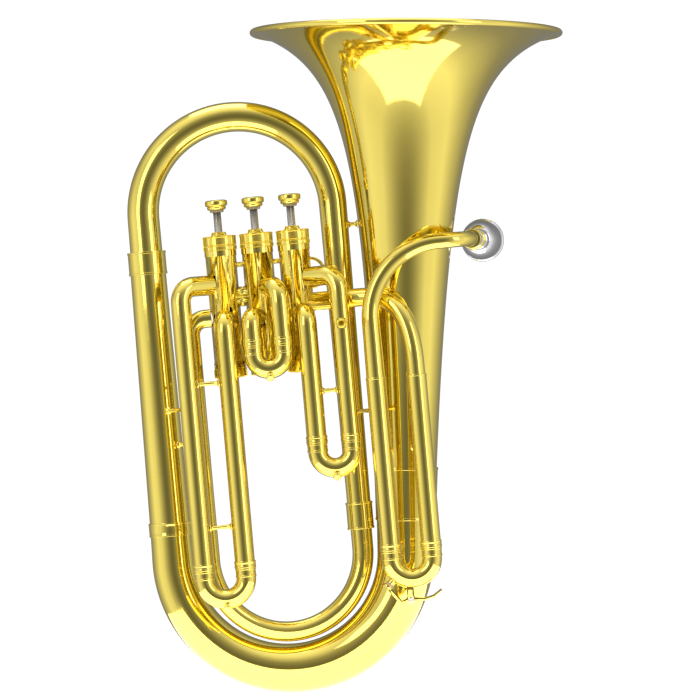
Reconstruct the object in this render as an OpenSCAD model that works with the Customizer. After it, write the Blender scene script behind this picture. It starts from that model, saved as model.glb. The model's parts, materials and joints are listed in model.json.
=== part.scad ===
// Three-valve euphonium with an upright bell, in millimetres.
// Z runs along the valves, the bell opens upwards and leans to +X, and the player
// stands on the +Y side, where the mouthpiece points. The origin is the lowest
// point of the bottom bow.

/* [Bell] */
// Outer diameter of the bell's mouth
bell_mouth_d = 279.4; // [240:0.1:320]
// Length of the bell along its own axis, from the end of the bottom bow to the rim
bell_length = 463; // [430:1:560]
// Lean of the bell away from the valves, in degrees
bell_lean = 5; // [3:0.5:7]
// How soon the bell opens out: the distance behind the rim that sets its flare
bell_flare_offset = 28.7; // [24:0.1:33]
// How steeply the bell narrows behind its rim
bell_flare_power = 0.6; // [0.56:0.01:0.66]
// Thickness of the bell's sheet brass
bell_wall = 1; // [0.7:0.1:1.4]
// Radius of the rolled bead at the rim
rim_bead_r = 2.8; // [2.3:0.1:4]
// Radius of the wire inside the rolled bead
rim_wire_r = 1.6; // [1.2:0.1:2]

/* [Main bows] */
// Distance between the left branch and the foot of the bell
bow_width = 208; // [190:1:250]
// Height of the top bow's centre above the bottom bow's centre
branch_length = 306.5; // [280:1:380]
// Radius of the top bow's centreline
top_bow_r = 84.75; // [75:0.25:90]
// Outer radius of the top branch where it leaves the inner bow
top_start_r = 10.5; // [9.5:0.1:12]
// Outer radius of the top branch where it enters the left branch
top_end_r = 14.5; // [13:0.1:15.5]
// Outer radius of the left branch at its top
left_top_r = 15.8; // [14.8:0.1:17]
// Outer radius of the left branch at its foot
left_foot_r = 18.2; // [16.5:0.1:20]
// Thickness of the bows' sheet brass
bow_wall = 0.8; // [0.6:0.1:1.2]
// Length of the straight part at the foot of the left branch
bow_rise = 29.5; // [20:0.5:60]
// How much a ferrule stands proud of the tube it joins
ferrule_proud = 1; // [0.6:0.1:1.6]

/* [Tubing] */
// Radius of the air passage through the valves and slides
bore_r = 7.4; // [6.8:0.1:8]
// Wall of the tubes
tube_wall = 0.7; // [0.5:0.05:0.9]
// Radial clearance between an inner slide and its outer tube
slide_gap = 0.05; // [0.03:0.01:0.09]
// Outer radius of the leadpipe at the receiver
leadpipe_end_r = 6.5; // [6:0.1:7.2]

/* [Valves] */
// Distance between neighbouring valves
valve_pitch = 32.6; // [32.6:0.1:38]
// Diameter of a piston
piston_d = 24.4; // [22:0.1:24.4]
// Radial clearance between a piston and its casing
piston_gap = 0.04; // [0.02:0.01:0.08]
// Wall of a valve casing
casing_wall = 1.46; // [1.1:0.02:1.5]
// Length of a valve casing
casing_length = 118; // [112:1:130]
// How far a piston travels when its button is pressed
valve_travel = 16; // [14:0.5:17]
// Diameter of a piston's stem
stem_d = 7; // [5:0.1:8]
// Diameter of a finger button
button_d = 19.9; // [17:0.1:24]
// Length of the stem that shows above the top cap
stem_show = 19.5; // [18.5:0.5:26]

/* [Slides] */
// Distance between the legs of the first valve's slide
slide_1_width = 30.5; // [26:0.5:33]
// Distance between the legs of the second valve's slide
slide_2_width = 26.7; // [24:0.5:30]
// Distance between the legs of the third valve's slide
slide_3_width = 36.5; // [30:0.5:40]
// Height where the fixed legs of the first slide end
slide_1_end_z = 222; // [200:1:240]
// Length of the second slide's fixed legs, from the valve's lower port to their end
slide_2_length = 25.77; // [25.17:0.1:30]
// Height where the fixed legs of the third slide end
slide_3_end_z = 118; // [105:1:150]
// Distance between the legs of the main tuning slide
main_slide_width = 35.6; // [30:0.1:40]
// Height where the fixed legs of the main tuning slide end
main_slide_end_z = 122; // [112:1:150]
// How far the first slide draws
slide_1_travel = 45; // [20:1:50]
// How far the second slide draws
slide_2_travel = 9; // [5:1:10]
// How far the third slide draws
slide_3_travel = 80; // [40:1:100]
// How far the main tuning slide draws
main_slide_travel = 60; // [30:1:75]

/* [Mouthpiece] */
// Diameter of the mouthpiece's rim
mouthpiece_d = 39; // [36:0.5:42]
// Overall length of the mouthpiece
mouthpiece_length = 84; // [78:1:92]
// Length of the shank that sits in the receiver
shank_in = 24; // [18:1:28]

/* [Small parts] */
// Radius of the round braces
brace_r = 1.8; // [1.2:0.1:2.4]
// How far a brace's ends and a soldered foot sink into the sheet they are soldered to
solder_sink = 0.3; // [0.2:0.05:0.4]
// Radius of the hole that takes a music holder's stem
lyre_hole_r = 2.2; // [1.6:0.1:2.6]
// Radius of the water key's pivot screw
key_screw_r = 1.2; // [0.9:0.1:1.5]
// Radial clearance of the small turning parts on their screws
pivot_gap = 0.06; // [0.03:0.01:0.09]

/* [Hidden] */
$fn = 64;

brass = "gold";
silver = "gainsboro";
steel = "slategray";

// Tubes: radii that follow from the bore.
inner_slide_r = bore_r + tube_wall;
outer_slide_bore_r = inner_slide_r + slide_gap;
outer_slide_r = outer_slide_bore_r + tube_wall;
gap = 0.02;

// The bell: outer radius at a distance from the rim, along its own axis.
mouth_r = bell_mouth_d / 2;
function bell_r(from_rim) =
    (mouth_r - rim_bead_r) * pow(bell_flare_offset / (from_rim + bell_flare_offset), bell_flare_power);
bell_foot_overlap = 52;
bell_foot_r = bell_r(bell_length - bell_foot_overlap);
ferrule_half = 23.5;

// The bottom bow: it widens steadily from the left branch to the foot of the bell.
bow_r = bow_width / 2;
bow_angle = 180 - bell_lean;
bow_arc = PI * bow_r * bow_angle / 180;
bow_path_length = bow_rise + bow_arc + bell_foot_overlap;
bow_bottom_r = left_foot_r
    + (bell_foot_r - left_foot_r) * (bow_rise + PI * bow_r / 2) / bow_path_length;
bow_x = 1;
bow_z = bow_r + bow_bottom_r;
left_x = bow_x - bow_r;
bell_base = [bow_x + bow_r * cos(bell_lean), 0, bow_z - bow_r * sin(bell_lean)];
bell_dir = [sin(bell_lean), 0, cos(bell_lean)];
bell_tip = bell_base + bell_length * bell_dir;
function bell_axis_x(z) = bell_base[0] + (z - bell_base[2]) * tan(bell_lean);
function bell_r_at(z) = bell_r((bell_tip[2] - z) / cos(bell_lean));

// The top bow and the branches.
top_z = bow_z + branch_length;
right_x = left_x + 2 * top_bow_r;
left_joint_z = top_z - 39;
right_joint_z = bow_z + 27;
left_foot_z = bow_z + bow_rise;
right_ferrule_half = 12;

// The valves. Number 1 is the valve nearest the bell.
casing_bore_r = piston_d / 2 + piston_gap;
casing_r = casing_bore_r + casing_wall;
valve_mid_x = right_x - 70.5;
function valve_x(i) = valve_mid_x + (2 - i) * valve_pitch;
valve_y = -(top_start_r + inner_slide_r + 3.4);
casing_top_z = top_z - 24.5;
casing_foot_z = casing_top_z - casing_length;
cap_r = min(casing_r + 1.4, valve_pitch / 2 - 0.9);
cap_length = 18;
cap_thread_length = 12;
cap_top_z = casing_top_z + 3.5;
skirt_z = cap_top_z - cap_length + 5;
collar_r = 6.5;
collar_top_z = cap_top_z + 3.5;
bottom_cap_length = 9;
bottom_cap_floor = 2;

// Heights of the air ports.
port_high_z = casing_top_z - 39.5;
port_cane_z = casing_top_z - 44.5;
port_link_z = casing_top_z - 51.5;
port_feed_z = casing_top_z - 61.5;
port_exit_z = casing_top_z - 68.5;
port_low_z = casing_top_z - 70.5;

// The slides' legs hang in one plane in front of the valves.
bend_r = outer_slide_r + 2.15;
leg_y = valve_y - (casing_r + outer_slide_r + 3.45);
slide_2_end_z = port_low_z - slide_2_length;
slide_1_x = [valve_x(1) + 5.9, valve_x(1) + 5.9 + slide_1_width];
slide_2_x = [valve_x(2) - 10.6, valve_x(2) - 10.6 + slide_2_width];
slide_3_x = [valve_x(3) - 1.4 - slide_3_width, valve_x(3) - 1.4];
crook_ferrule_length = 8;
slide_end_gap = 0.1;

// The exit tube and the inner bow.
exit_x = left_x + 34;
exit_bend_r = 14;
exit_foot_z = bow_z + 74;
inner_bow_end_r = 9.6;
inner_span = [right_x - exit_x, -valve_y];
inner_bow_r = norm(inner_span) / 2;
inner_bow_z = bow_z - 1.5;

// The leadpipe and the main tuning slide stand in front of the bell.
lead_z = top_z - 43;
lead_start_r = 8.4;
lead_arc_r = 65;
lead_y = -(bell_r_at(lead_z) + leadpipe_end_r + 9);
main_x = [bell_axis_x(main_slide_end_z) - 14, bell_axis_x(main_slide_end_z) - 14 + main_slide_width];
main_top_z = main_slide_end_z + 153;
main_foot_z = main_slide_end_z;

// The last bend of the leadpipe turns it towards the player.
receiver_turn = 82;
receiver_bend_r = 26;
receiver_length = 36;
lead_turn_x = main_x[0] + lead_arc_r + 4;
lead_end = [
    lead_turn_x + receiver_bend_r * sin(receiver_turn),
    lead_y + receiver_bend_r * (1 - cos(receiver_turn)),
    lead_z
];
receiver_r = leadpipe_end_r + 2;
lead_straight = 12;

// Points of a path ------------------------------------------------------------

function unit(v) = v / norm(v);

// An arc round a centre, from the direction u towards the direction v.
function arc(centre, r, u, v, from, to, steps) =
    [for (i = [0:steps]) let (a = from + (to - from) * i / steps) centre + r * (cos(a) * u + sin(a) * v)];

// A cubic curve with its end points and the two points that pull it.
function curve(a, b, c, d, steps) =
    [for (i = [0:steps]) let (t = i / steps, s = 1 - t)
        s * s * s * a + 3 * s * s * t * b + 3 * s * t * t * c + t * t * t * d];

// Distance along the path to each of its points.
function walked(path, i = 0, so_far = 0) =
    i >= len(path) ? []
    : let (here = so_far + (i == 0 ? 0 : norm(path[i] - path[i - 1])))
        concat([here], walked(path, i + 1, here));

function along(path) =
    [for (i = [0:len(path) - 1]) unit(path[min(i + 1, len(path) - 1)] - path[max(i - 1, 0)])];

// Directions square to the path that turn as little as they can.
function across(ways, last, i = 0) =
    i >= len(ways) ? []
    : let (n = unit(last - (last * ways[i]) * ways[i])) concat([n], across(ways, n, i + 1));

function ring_points(centre, way, n, r, sides) =
    let (b = cross(way, n))
    [for (k = [0:sides - 1]) centre + r * (cos(360 * k / sides) * n + sin(360 * k / sides) * b)];

// A hollow tube that tapers evenly along a path.
module swept_tube(path, r_start, r_end, wall, side, sides = 32) {
    ways = along(path);
    normals = across(ways, side);
    far = walked(path);
    rings = len(path);
    total = far[rings - 1];
    radii = [for (s = far) r_start + (r_end - r_start) * s / total];
    outside = [for (i = [0:rings - 1]) each ring_points(path[i], ways[i], normals[i], radii[i], sides)];
    inside = [for (i = [0:rings - 1])
        each ring_points(path[i], ways[i], normals[i], radii[i] - wall, sides)];
    m = rings * sides;
    function at(i, k) = i * sides + k % sides;
    skin = [for (i = [0:rings - 2], k = [0:sides - 1])
        [at(i, k), at(i + 1, k), at(i + 1, k + 1), at(i, k + 1)]];
    lining = [for (i = [0:rings - 2], k = [0:sides - 1])
        [m + at(i, k), m + at(i, k + 1), m + at(i + 1, k + 1), m + at(i + 1, k)]];
    mouth = [for (k = [0:sides - 1]) [at(0, k), at(0, k + 1), m + at(0, k + 1), m + at(0, k)]];
    e = rings - 1;
    tail = [for (k = [0:sides - 1]) [at(e, k), m + at(e, k), m + at(e, k + 1), at(e, k + 1)]];
    polyhedron(concat(outside, inside), concat(skin, lining, mouth, tail), convexity = 8);
}

// Plain shapes ------------------------------------------------------------

module pipe(r, bore, h) {
    difference() {
        cylinder(r = r, h = h);
        translate([0, 0, -1]) cylinder(r = bore, h = h + 2);
    }
}

// Turns +Z into a direction.
module face(way) {
    rotate([0, acos(way[2] / norm(way)), atan2(way[1], way[0])]) children();
}

module rod(from, to, r) {
    translate(from) face(to - from) cylinder(r = r, h = norm(to - from));
}

module ring_profile(r, bore) {
    difference() {
        circle(r = r);
        if (bore > 0) circle(r = bore);
    }
}

// A quarter bend of pipe that starts at the origin along +X and ends pointing to -Z.
module down_bend(bend, r, bore = 0) {
    translate([0, 0, -bend]) rotate([90, 0, 0]) rotate_extrude(angle = 90)
        translate([bend, 0]) ring_profile(r, bore);
}

// A half bend of pipe below two legs that stand at x = -bend and x = bend.
module u_bend(bend, r, bore = 0) {
    rotate([-90, 0, 0]) rotate_extrude(angle = 180) translate([bend, 0]) ring_profile(r, bore);
}

// A round brace with a foot at each end, both soldered on.
module brace(from, to) {
    way = unit(to - from);
    rod(from, to, brace_r);
    rod(from, from + 1.6 * way, brace_r + 1.7);
    rod(to - 1.6 * way, to, brace_r + 1.7);
}

// A brace between two upright tubes, from surface to surface.
module tube_brace(a, ra, b, rb, z) {
    way = unit([b[0] - a[0], b[1] - a[1], 0]);
    start = [a[0], a[1], z] + (ra - solder_sink) * way;
    end = [b[0], b[1], z] - (rb - solder_sink) * way;
    brace(start, end);
}

// The bell and the bows ------------------------------------------------------------

module on_bell(from_base) {
    translate(bell_base) rotate([0, bell_lean, 0]) translate([0, 0, from_base]) children();
}

// Distances behind the rim at which the flare's outline has a point: close together where it curves.
flare_steps = 26;
flare_span = bell_length - bell_foot_overlap;
// The sheet's edge lies in the bead's wall, just outside the wire.
rim_slope = bell_flare_power * (mouth_r - rim_bead_r) / bell_flare_offset;
rim_lap = (rim_wire_r + 0.15) / norm([1, rim_slope]);
flare_points = [for (i = [0:flare_steps]) rim_lap + (flare_span - rim_lap) * pow(i / flare_steps, 2.2)];

module bell() {
    color(brass) on_bell(0) {
        outer = [for (d = flare_points) [bell_r(d), bell_length - d]];
        inner = [for (i = [flare_steps:-1:0])
            [bell_r(flare_points[i]) - bell_wall, bell_length - flare_points[i]]];
        rotate_extrude($fn = 96) polygon(concat(outer, inner));
        difference() {
            translate([0, 0, bell_length]) rotate_extrude($fn = 96)
                translate([mouth_r - rim_bead_r, 0]) circle(r = rim_bead_r, $fn = 24);
            translate([0, 0, bell_length]) rotate_extrude($fn = 96)
                translate([mouth_r - rim_bead_r, 0]) circle(r = rim_wire_r + gap, $fn = 24);
        }
    }
}

module bell_rim_wire() {
    color(steel) on_bell(bell_length) rotate_extrude($fn = 96)
        translate([mouth_r - rim_bead_r, 0]) circle(r = rim_wire_r, $fn = 24);
}

module bell_ferrule() {
    low_r = bell_r(flare_span + ferrule_half) + gap;
    high_r = bell_r(flare_span - ferrule_half) + gap;
    color(brass) on_bell(bell_foot_overlap) {
        difference() {
            translate([0, 0, -ferrule_half])
                cylinder(r1 = low_r + ferrule_proud, r2 = high_r + ferrule_proud, h = 2 * ferrule_half);
            translate([0, 0, -ferrule_half - 1]) cylinder(r = bell_foot_r + gap, h = ferrule_half + 1);
            translate([0, 0, -gap]) cylinder(r1 = bell_foot_r + gap, r2 = high_r + gap, h = ferrule_half + 2 * gap);
        }
        for (end = [[-ferrule_half, low_r], [ferrule_half - 2, high_r]]) translate([0, 0, end[0]])
            pipe(end[1] + ferrule_proud + 0.4, end[1] + ferrule_proud - 0.6, 2);
    }
}

bow_path = concat(
    [[left_x, 0, left_foot_z], [left_x, 0, bow_z + bow_rise / 2]],
    arc([bow_x, 0, bow_z], bow_r, [-1, 0, 0], [0, 0, -1], 0, bow_angle, 34),
    [bell_base + bell_foot_overlap / 2 * bell_dir, bell_base + bell_foot_overlap * bell_dir]
);

module bottom_bow() {
    color(brass) swept_tube(bow_path, left_foot_r, bell_foot_r, bow_wall, [0, 1, 0], 36);
}

// A ferrule that covers the joint between a lower and an upper tube.
module joint_ferrule(low_r, high_r, half) {
    outer = max(low_r, high_r) + ferrule_proud;
    difference() {
        union() {
            translate([0, 0, -half]) cylinder(r = outer, h = 2 * half);
            for (z = [-half, half - 1.6]) translate([0, 0, z]) cylinder(r = outer + 0.4, h = 1.6);
        }
        translate([0, 0, -half - 1]) cylinder(r = low_r, h = half + 1);
        translate([0, 0, -gap]) cylinder(r = high_r, h = half + 1 + gap);
    }
}

module left_foot_ferrule() {
    color(brass) translate([left_x, 0, left_foot_z]) difference() {
        union() {
            translate([0, 0, -6]) cylinder(r = left_foot_r + ferrule_proud, h = 12);
            for (z = [-6, 5]) translate([0, 0, z]) cylinder(r = left_foot_r + ferrule_proud + 0.3, h = 1);
        }
        translate([0, 0, -7]) cylinder(r = left_foot_r + 0.55, h = 14);
    }
}

module left_branch() {
    h = left_joint_z - left_foot_z;
    color(brass) translate([left_x, 0, left_foot_z]) difference() {
        cylinder(r1 = left_foot_r, r2 = left_top_r, h = h);
        translate([0, 0, -gap]) cylinder(r = left_top_r - bow_wall - 0.02, h = h + 1);
        translate([0, 0, -gap]) cylinder(r1 = left_foot_r - bow_wall, r2 = left_top_r - bow_wall, h = h + gap);
    }
}

module left_top_ferrule() {
    color(brass) translate([left_x, 0, left_joint_z])
        joint_ferrule(left_top_r + 0.15, top_end_r + 0.15, 10.25);
}

top_path = concat(
    [for (i = [0:3]) [right_x, 0, right_joint_z + (top_z - right_joint_z) * i / 4]],
    arc([right_x - top_bow_r, 0, top_z], top_bow_r, [1, 0, 0], [0, 0, 1], 0, 180, 32),
    [[left_x, 0, (top_z + left_joint_z) / 2], [left_x, 0, left_joint_z]]
);

module top_bow() {
    color(brass) swept_tube(top_path, top_start_r, top_end_r, bow_wall, [0, 1, 0], 32);
}

module right_ferrule() {
    color(brass) translate([right_x, 0, right_joint_z])
        joint_ferrule(inner_bow_end_r + 0.1, top_start_r + 0.3, right_ferrule_half);
}

inner_way = unit([inner_span[0], inner_span[1], 0]);
inner_centre = [exit_x, valve_y, inner_bow_z] + inner_bow_r * inner_way;
inner_path = concat(
    [[exit_x, valve_y, exit_foot_z], [exit_x, valve_y, (exit_foot_z + inner_bow_z) / 2]],
    arc(inner_centre, inner_bow_r, -inner_way, [0, 0, -1], 0, 180, 32),
    [[right_x, 0, (inner_bow_z + right_joint_z) / 2], [right_x, 0, right_joint_z]]
);

module inner_bow() {
    color(brass) swept_tube(inner_path, inner_slide_r, inner_bow_end_r, tube_wall, [0, 1, 0], 28);
}

// Cuts a tube back to the outside of a valve's casing.
module cut_at_casing(i) {
    difference() {
        children();
        translate([valve_x(i), valve_y, casing_foot_z - 20]) cylinder(r = casing_r, h = casing_length + 60);
    }
}

module exit_tube() {
    run = valve_x(3) - exit_x - exit_bend_r;
    color(brass) {
        cut_at_casing(3) translate([valve_x(3), valve_y, port_exit_z]) rotate([0, -90, 0])
            pipe(inner_slide_r, bore_r, run);
        translate([valve_x(3) - run, valve_y, port_exit_z]) rotate([0, 0, 180])
            down_bend(exit_bend_r, inner_slide_r, bore_r);
        translate([exit_x, valve_y, exit_foot_z + slide_end_gap])
            pipe(inner_slide_r, bore_r, port_exit_z - exit_bend_r - exit_foot_z - slide_end_gap);
    }
}

// The valves ------------------------------------------------------------

// Ports of each valve: [direction in plan, height]. The first two lead to its slide, and the last
// two are the way in and the way out.
function way_to(i, x, y) = atan2(y - valve_y, x - valve_x(i));
feed_angle = -11.6;
function ports(i) =
    i == 1 ? [
        [way_to(1, slide_1_x[0], leg_y), port_low_z], [way_to(1, slide_1_x[1], leg_y), port_high_z],
        [feed_angle, port_feed_z], [180, port_feed_z]]
    : i == 2 ? [
        [way_to(2, slide_2_x[0], leg_y), port_low_z], [way_to(2, slide_2_x[1], leg_y), port_cane_z],
        [0, port_feed_z], [180, port_link_z]]
    : [
        [way_to(3, slide_3_x[1], leg_y), port_low_z], [way_to(3, slide_3_x[0], leg_y), port_high_z],
        [0, port_link_z], [180, port_exit_z]];

module port_holes(i, r) {
    for (p = ports(i)) translate([0, 0, p[1]]) rotate([0, 0, p[0]]) rotate([0, 90, 0])
        cylinder(r = r, h = casing_r + 4);
}

module valve_casing(i) {
    color(brass) translate([valve_x(i), valve_y, 0]) difference() {
        union() {
            translate([0, 0, casing_foot_z]) cylinder(r = casing_r, h = casing_length);
            translate([0, 0, cap_top_z - cap_length]) cylinder(r = casing_r + 0.5, h = 5);
            translate([0, 0, casing_foot_z + bottom_cap_length - 2]) cylinder(r = casing_r + 0.5, h = 2.4);
        }
        translate([0, 0, casing_foot_z - 1]) cylinder(r = casing_bore_r, h = casing_length + 2);
        port_holes(i, bore_r);
        for (thread = [[skirt_z - gap, cap_thread_length], [casing_foot_z - 1, bottom_cap_length - 1]])
            translate([0, 0, thread[0]]) difference() {
                cylinder(r = casing_r + 1, h = thread[1]);
                translate([0, 0, -1]) cylinder(r = casing_r - 0.5, h = thread[1] + 2);
            }
    }
}

module top_cap(i) {
    color(brass) translate([valve_x(i), valve_y, 0]) difference() {
        union() {
            translate([0, 0, skirt_z]) cylinder(r = cap_r, h = cap_top_z - skirt_z - 1);
            translate([0, 0, cap_top_z - 1]) cylinder(r1 = cap_r, r2 = cap_r - 1, h = 1);
            translate([0, 0, cap_top_z - 0.5]) cylinder(r = collar_r, h = collar_top_z - cap_top_z + 0.5);
        }
        translate([0, 0, skirt_z - 1]) cylinder(r = casing_r - 0.5 + gap, h = casing_top_z - skirt_z + 1 + gap);
        translate([0, 0, skirt_z]) cylinder(r = stem_d / 2 + 0.3, h = 40);
    }
}

module bottom_cap(i) {
    color(brass) translate([valve_x(i), valve_y, casing_foot_z]) difference() {
        union() {
            translate([0, 0, -bottom_cap_floor])
                cylinder(r = casing_r + 0.9, h = bottom_cap_length - 2 + bottom_cap_floor);
            translate([0, 0, -bottom_cap_floor - 3]) cylinder(r1 = 3, r2 = 5, h = 3);
        }
        cylinder(r = casing_r - 0.5 + gap, h = bottom_cap_length);
        translate([0, 0, -bottom_cap_floor - 4]) cylinder(r = 1.2, h = 10);
    }
}

// A piston stands between the stroke left below it and the top cap.
spring_low_z = casing_foot_z;
piston_foot_z = casing_foot_z + valve_travel + 12;
piston_top_z = casing_top_z - 1;
spring_r = piston_d / 2 - 3.2;

// A point on the axis of a valve's port, just outside the piston.
function port_mouth(port) = [piston_d / 2 * cos(port[0]), piston_d / 2 * sin(port[0]), port[1]];

// The valve at rest has one straight way through it. The two ports of its slide meet it only
// when it is pressed, and are shallow drillings here.
module piston(i) {
    at_rest = [for (k = [2, 3]) port_mouth(ports(i)[k])];
    way = unit(at_rest[1] - at_rest[0]);
    color(silver) translate([valve_x(i), valve_y, 0]) difference() {
        translate([0, 0, piston_foot_z]) cylinder(r = piston_d / 2, h = piston_top_z - piston_foot_z);
        rod(at_rest[0] - 3 * way, at_rest[1] + 3 * way, bore_r - 0.4);
        for (k = [0, 1])
            translate([0, 0, ports(i)[k][1] + valve_travel]) rotate([0, 0, ports(i)[k][0]])
                rotate([0, 90, 0]) translate([0, 0, piston_d / 2 - 3]) cylinder(r = bore_r - 0.4, h = 6);
        translate([0, 0, piston_top_z - 15]) cylinder(r = piston_d / 2 - 1.2, h = 20);
        translate([0, 0, piston_foot_z - 1]) cylinder(r = spring_r + 1.2, h = 7);
        translate([0, 0, piston_foot_z - 1]) cylinder(r = 3, h = 12);
    }
}

module stem(i) {
    low = piston_top_z - 15;
    high = collar_top_z + stem_show + 3;
    color(steel) translate([valve_x(i), valve_y, 0]) union() {
        translate([0, 0, low]) cylinder(r = stem_d / 2, h = high - low);
        translate([0, 0, high]) cylinder(r = stem_d / 2 - 1.2, h = 3);
        translate([0, 0, low]) cylinder(r = piston_d / 2 - 2.5, h = 2);
    }
}

button_foot_z = collar_top_z + stem_show;
button_h = 9;

module button(i) {
    r = button_d / 2;
    color(brass) translate([valve_x(i), valve_y, button_foot_z]) difference() {
        union() {
            cylinder(r1 = r - 1.2, r2 = r, h = 1);
            translate([0, 0, 1]) cylinder(r = r, h = 2);
            translate([0, 0, 3]) cylinder(r = r - 1.1, h = 2.2);
            translate([0, 0, 5.2]) cylinder(r = r, h = 2.2);
            translate([0, 0, 7.4]) cylinder(r1 = r, r2 = r - 1.6, h = button_h - 7.4);
        }
        translate([0, 0, -1]) cylinder(r = stem_d / 2 + gap, h = 4 + gap);
        translate([0, 0, 2]) cylinder(r = stem_d / 2 - 1.2 + gap, h = 4 + gap);
        translate([0, 0, -1]) cylinder(r = 7.4, h = 2);
        translate([0, 0, button_h + 18.6]) sphere(r = 19.6);
    }
}

// The felt washer sits in the button's foot and stops it softly on the collar.
module felt(i) {
    color("darkolivegreen") translate([valve_x(i), valve_y, button_foot_z - 2])
        pipe(6.2, stem_d / 2 + gap, 3);
}

spring_turns = 6;

module valve_spring(i) {
    rise = piston_foot_z + 6 - spring_low_z - 1.4;
    steps = spring_turns * 12;
    path = [for (k = [0:steps]) [spring_r * cos(30 * k), spring_r * sin(30 * k), 0.7 + rise * k / steps]];
    color(steel) translate([valve_x(i), valve_y, spring_low_z]) {
        ways = along(path);
        normals = across(ways, [0, 0, 1]);
        points = [for (k = [0:steps]) each ring_points(path[k], ways[k], normals[k], 0.6, 6)];
        sides = [for (k = [0:steps - 1], j = [0:5])
            [6 * k + j, 6 * k + 6 + j, 6 * k + 6 + (j + 1) % 6, 6 * k + (j + 1) % 6]];
        ends = [[for (j = [0:5]) j], [for (j = [5:-1:0]) 6 * steps + j]];
        polyhedron(points, concat(sides, ends), convexity = 20);
    }
}

// The short tubes between the casings, the rods that keep the valves apart, and the port that
// takes the feed tube.
feed_way = [cos(feed_angle), sin(feed_angle), 0];
feed_reach = (main_x[0] - 11 - valve_x(1)) / feed_way[0];
feed_turn = [valve_x(1), valve_y, port_feed_z] + feed_reach * feed_way;
rod_r = 2.2;

module valve_knuckles() {
    color(brass) {
        for (pair = [[1, port_feed_z], [2, port_link_z]]) {
            i = pair[0];
            difference() {
                union() {
                    translate([valve_x(i + 1), valve_y, pair[1]]) rotate([0, 90, 0])
                        cylinder(r = outer_slide_r, h = valve_pitch);
                    for (z = [casing_top_z - 23, casing_foot_z + 16])
                        translate([valve_x(i + 1), valve_y, z]) rotate([0, 90, 0])
                            cylinder(r = rod_r, h = valve_pitch);
                }
                for (k = [i, i + 1]) translate([valve_x(k), valve_y, casing_foot_z - 1])
                    cylinder(r = casing_r, h = casing_length + 2);
                translate([valve_x(i + 1), valve_y, pair[1]]) rotate([0, 90, 0])
                    cylinder(r = bore_r, h = valve_pitch);
            }
        }
        translate([valve_x(1), valve_y, port_feed_z]) rotate([0, 0, feed_angle]) difference() {
            rotate([0, 90, 0]) pipe(inner_slide_r, bore_r, feed_reach);
            cylinder(r = casing_r, h = 4 * inner_slide_r, center = true);
        }
    }
}

// The slides ------------------------------------------------------------

// A tube from a valve's port out to a leg, bent down, and on to the leg's end. The leg's
// lower part has the wider bore that takes the inner slide.
module leg(i, x, z, bend, end_z, inner_top_z) {
    reach = norm([x - valve_x(i), leg_y - valve_y]);
    drop = end_z - z;
    step = inner_top_z - z;
    translate([valve_x(i), valve_y, z]) rotate([0, 0, way_to(i, x, leg_y)]) {
        difference() {
            rotate([0, 90, 0]) pipe(outer_slide_r, bore_r, reach - bend);
            cylinder(r = casing_r, h = 4 * outer_slide_r, center = true);
        }
        translate([reach - bend, 0, 0]) down_bend(bend, outer_slide_r, bore_r);
        translate([reach, 0, 0]) rotate_extrude() polygon([
            [bore_r, -bend], [bore_r, step], [outer_slide_bore_r, step], [outer_slide_bore_r, drop],
            [outer_slide_r + 0.7, drop], [outer_slide_r + 0.7, drop + 6], [outer_slide_r, drop + 6],
            [outer_slide_r, -bend]
        ]);
    }
}

// Lengths of the inner legs that stay inside the fixed legs.
slide_1_inner = slide_1_travel + 22;
slide_2_inner = slide_2_travel + 5;
slide_3_inner = slide_3_travel + 30;
main_inner = main_slide_travel + 35;
inner_top_gap = 0.3;

module slide_1_legs() {
    top = slide_1_end_z + slide_1_inner + inner_top_gap;
    color(brass) {
        leg(1, slide_1_x[0], port_low_z, bend_r, slide_1_end_z, top);
        leg(1, slide_1_x[1], port_high_z, bend_r + 3, slide_1_end_z, top);
    }
}

module slide_2_legs() {
    top = slide_2_end_z + slide_2_inner + inner_top_gap;
    color(brass) {
        leg(2, slide_2_x[0], port_low_z, bend_r - 1.5, slide_2_end_z, top);
        leg(2, slide_2_x[1], port_cane_z, bend_r + 3, slide_2_end_z, top);
    }
}

module slide_3_legs() {
    top = slide_3_end_z + slide_3_inner + inner_top_gap;
    color(brass) {
        leg(3, slide_3_x[0], port_high_z, bend_r + 3, slide_3_end_z, top);
        leg(3, slide_3_x[1], port_low_z, bend_r, slide_3_end_z, top);
    }
}

// A drawn slide: two inner legs with a ferrule on each.
crook_r = outer_slide_r - 0.2;
module crook_legs(x, y, end_z, inner) {
    ferrule_top = crook_ferrule_length;
    top = ferrule_top + slide_end_gap + inner;
    for (leg_x = x) translate([leg_x, y, end_z - slide_end_gap - ferrule_top]) rotate_extrude() polygon([
        [bore_r, 0], [outer_slide_r, 0], [outer_slide_r, ferrule_top - 2],
        [outer_slide_r + 0.5, ferrule_top - 2], [outer_slide_r + 0.5, ferrule_top],
        [inner_slide_r, ferrule_top], [inner_slide_r, top], [bore_r, top]
    ]);
}

// The bend that joins the two legs.
module crook_bend(x, y, end_z) {
    translate([(x[0] + x[1]) / 2, y, end_z - slide_end_gap - crook_ferrule_length])
        u_bend((x[1] - x[0]) / 2, crook_r, bore_r);
}

module crook(x, y, end_z, inner) {
    crook_legs(x, y, end_z, inner);
    crook_bend(x, y, end_z);
}

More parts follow.
